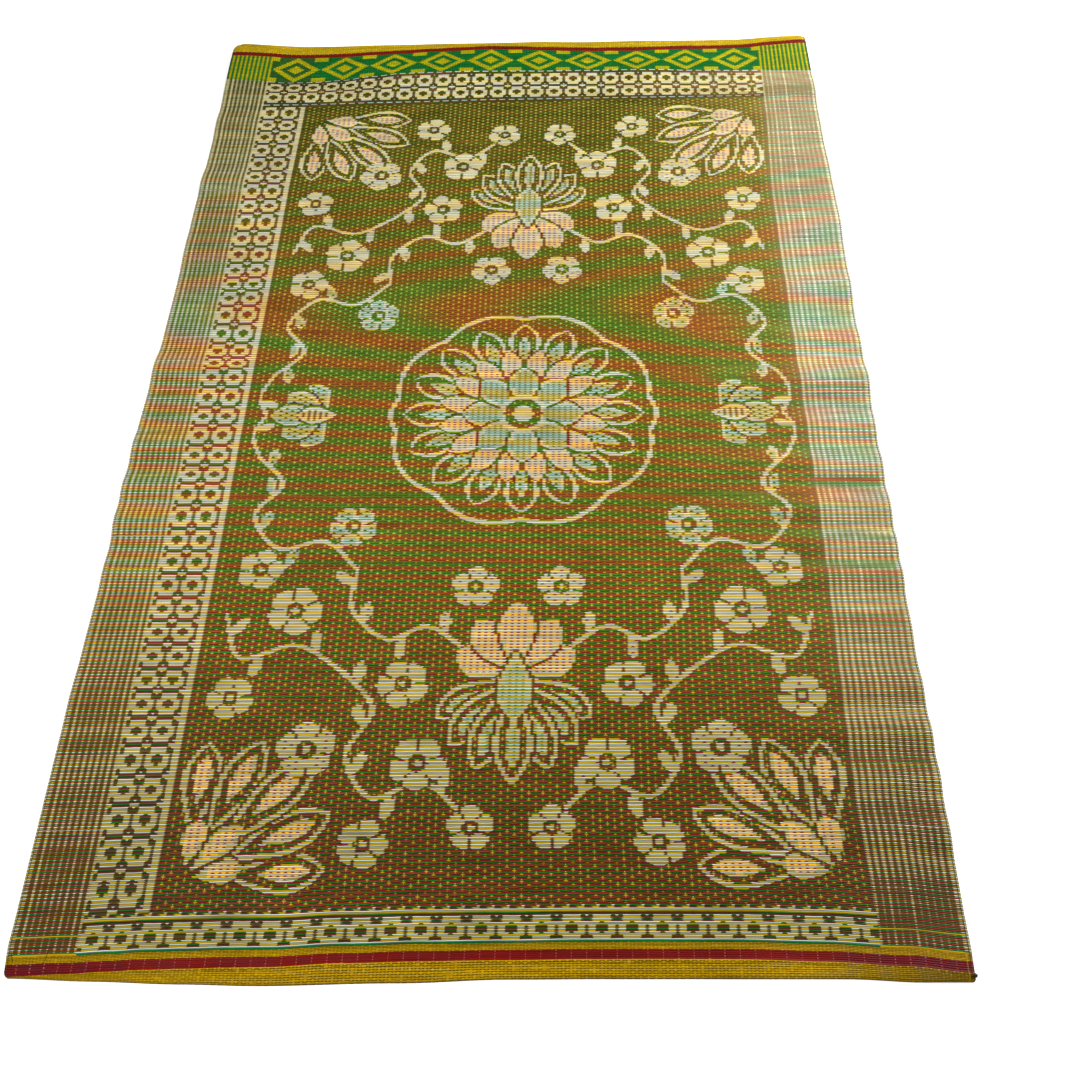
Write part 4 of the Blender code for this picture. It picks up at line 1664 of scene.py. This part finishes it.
# %% [markdown]
# ### Threads
# The binding thread is twisted, and a painted shade darkens the groove between each twist and the
# next, so short light and dark stretches take turns along it. The fibres and the knot are only dark
# and a little worn. Noise in the object's own coordinates is enough for both.

# %% The finish of the threads
TWISTS_PER_METRE = 900


def thread_material():
    """The twisted binding thread, with a painted shade in the grooves of its twist."""
    material, shader, start = start_material("binding_thread")
    place = start.node("ShaderNodeTexCoord", {}, {}, "Object")
    along = start.node("ShaderNodeSeparateXYZ", {}, {"Vector": place}, "Y")
    twist = (along * TWISTS_PER_METRE).fraction()
    # Painted shade: the colour is darker where one twist meets the next.
    strand = twist * (1 - twist) * 4
    worn = start.node("ShaderNodeTexNoise", {}, {"Vector": place, "Scale": 60.0, "Detail": 2.0})
    colour = blend(worn, linear(30, 44, 22), linear(92, 60, 30))
    plug(scaled(colour, 0.6 + strand * 0.4), shader, "Base Color")
    plug(0.5 + worn * 0.2, shader, "Roughness")
    return material


def dark_material(name, low, high):
    """A dark dull thread between two colours, lighter where it is worn."""
    material, shader, start = start_material(name)
    place = start.node("ShaderNodeTexCoord", {}, {}, "Object")
    worn = start.node("ShaderNodeTexNoise", {}, {"Vector": place, "Scale": 300.0, "Detail": 1.0})
    plug(blend(worn, linear(*low), linear(*high)), shader, "Base Color")
    shader.inputs["Roughness"].default_value = 0.9
    shader.inputs["Specular IOR Level"].default_value = 0.1
    return material


FINISHED = (
    ((left_thread, right_thread), thread_material()),
    (fibres, dark_material("dark_fibre", (18, 16, 6), (60, 50, 14))),
    ((binding_knot,), dark_material("knot_thread", (34, 26, 2), (84, 68, 4))),
)
for pieces, finish in FINISHED:
    for piece in pieces:
        piece.data.materials.append(finish)
print("finishes of the threads:", [finish.name for _, finish in FINISHED])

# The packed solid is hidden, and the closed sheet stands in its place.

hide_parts("floor_mat")

# %% [markdown]
# ## Floor, light and camera
# The photograph is a cut-out on white, so the floor is pale and brightly lit. One soft light hangs
# high to the left of the camera, and a second one beyond the far right corner makes the straws there
# shine, as they do in the picture, together with a sheen that is painted into their colour. The
# camera stands over the near end and looks down along the mat.

# %% Floor
FLOOR_HALF, FLOOR_BELOW = 14.0, 0.0004
floor_corners = [(x * FLOOR_HALF, y * FLOOR_HALF, 0) for x, y in ((-1, -1), (1, -1), (1, 1), (-1, 1))]
floor_mesh = bpy.data.meshes.new("floor")
floor_mesh.from_pydata(floor_corners, [], [(0, 1, 2, 3)])
floor = bpy.data.objects.new("floor", floor_mesh)
floor.location.z = -FLOOR_BELOW
bpy.context.scene.collection.objects.link(floor)
floor_finish, floor_shader, floor_start = start_material("pale_floor")
floor_place = floor_start.node("ShaderNodeTexCoord", {}, {}, "Object")
grain_inputs = {"Vector": floor_place, "Scale": 3.0, "Detail": 2.0}
grain = floor_start.node("ShaderNodeTexNoise", {}, grain_inputs)
plug(blend(grain, (0.93, 0.93, 0.93, 1.0), (0.96, 0.96, 0.96, 1.0)), floor_shader, "Base Color")
floor_shader.inputs["Roughness"].default_value = 0.9
floor_shader.inputs["Specular IOR Level"].default_value = 0.1
floor_shader.inputs["Emission Color"].default_value = (1.0, 1.0, 1.0, 1.0)
floor_shader.inputs["Emission Strength"].default_value = 0.50
floor_mesh.materials.append(floor_finish)
print("floor of", 2 * FLOOR_HALF, "m")

# %% World and soft lights
world = bpy.data.worlds.new("studio")
world.use_nodes = True
background = world.node_tree.nodes["Background"]
background.inputs["Color"].default_value = (1.0, 1.0, 1.0, 1.0)
background.inputs["Strength"].default_value = 0.16
bpy.context.scene.world = world


def soft_light(name, place, aim, size, power):
    """A square area light at a place, turned to face another."""
    lamp = bpy.data.lights.new(name, "AREA")
    lamp.size = size
    lamp.energy = power
    light_object = bpy.data.objects.new(name, lamp)
    light_object.location = place
    toward = np.array(aim, float) - np.array(place, float)
    flat = math.hypot(toward[0], toward[1])
    tilt = math.atan2(flat, -toward[2])
    turn = math.atan2(toward[1], toward[0]) - math.pi / 2
    light_object.rotation_euler = (tilt, 0.0, turn)
    bpy.context.scene.collection.objects.link(light_object)
    return light_object


soft_light("key_softbox", (-1.3, -1.4, 2.9), (0.0, -0.2, 0.0), 1.8, 69.0)
soft_light("far_softbox", (1.75, 1.85, 1.35), (0.3, 0.6, 0.0), 1.2, 118.0)
bpy.context.scene.view_settings.view_transform = "Standard"
print("lights:", [one.name for one in bpy.data.lights])

# %% Camera
camera_data = bpy.data.cameras.new("camera")
camera_data.sensor_width = 36.0
camera_data.lens = 39.73
camera = bpy.data.objects.new("camera", camera_data)
camera.location = (0.1061, -1.296 - MIDDLE_Y, 1.5313)
camera.rotation_euler = [math.radians(angle) for angle in (33.104, 1.351, 0.535)]
bpy.context.scene.collection.objects.link(camera)
bpy.context.scene.camera = camera
print("camera at", [round(value, 3) for value in camera.location])

# %% [markdown]
# ## Sizes
# The dressed mat is meant to stay as big as the packed one.
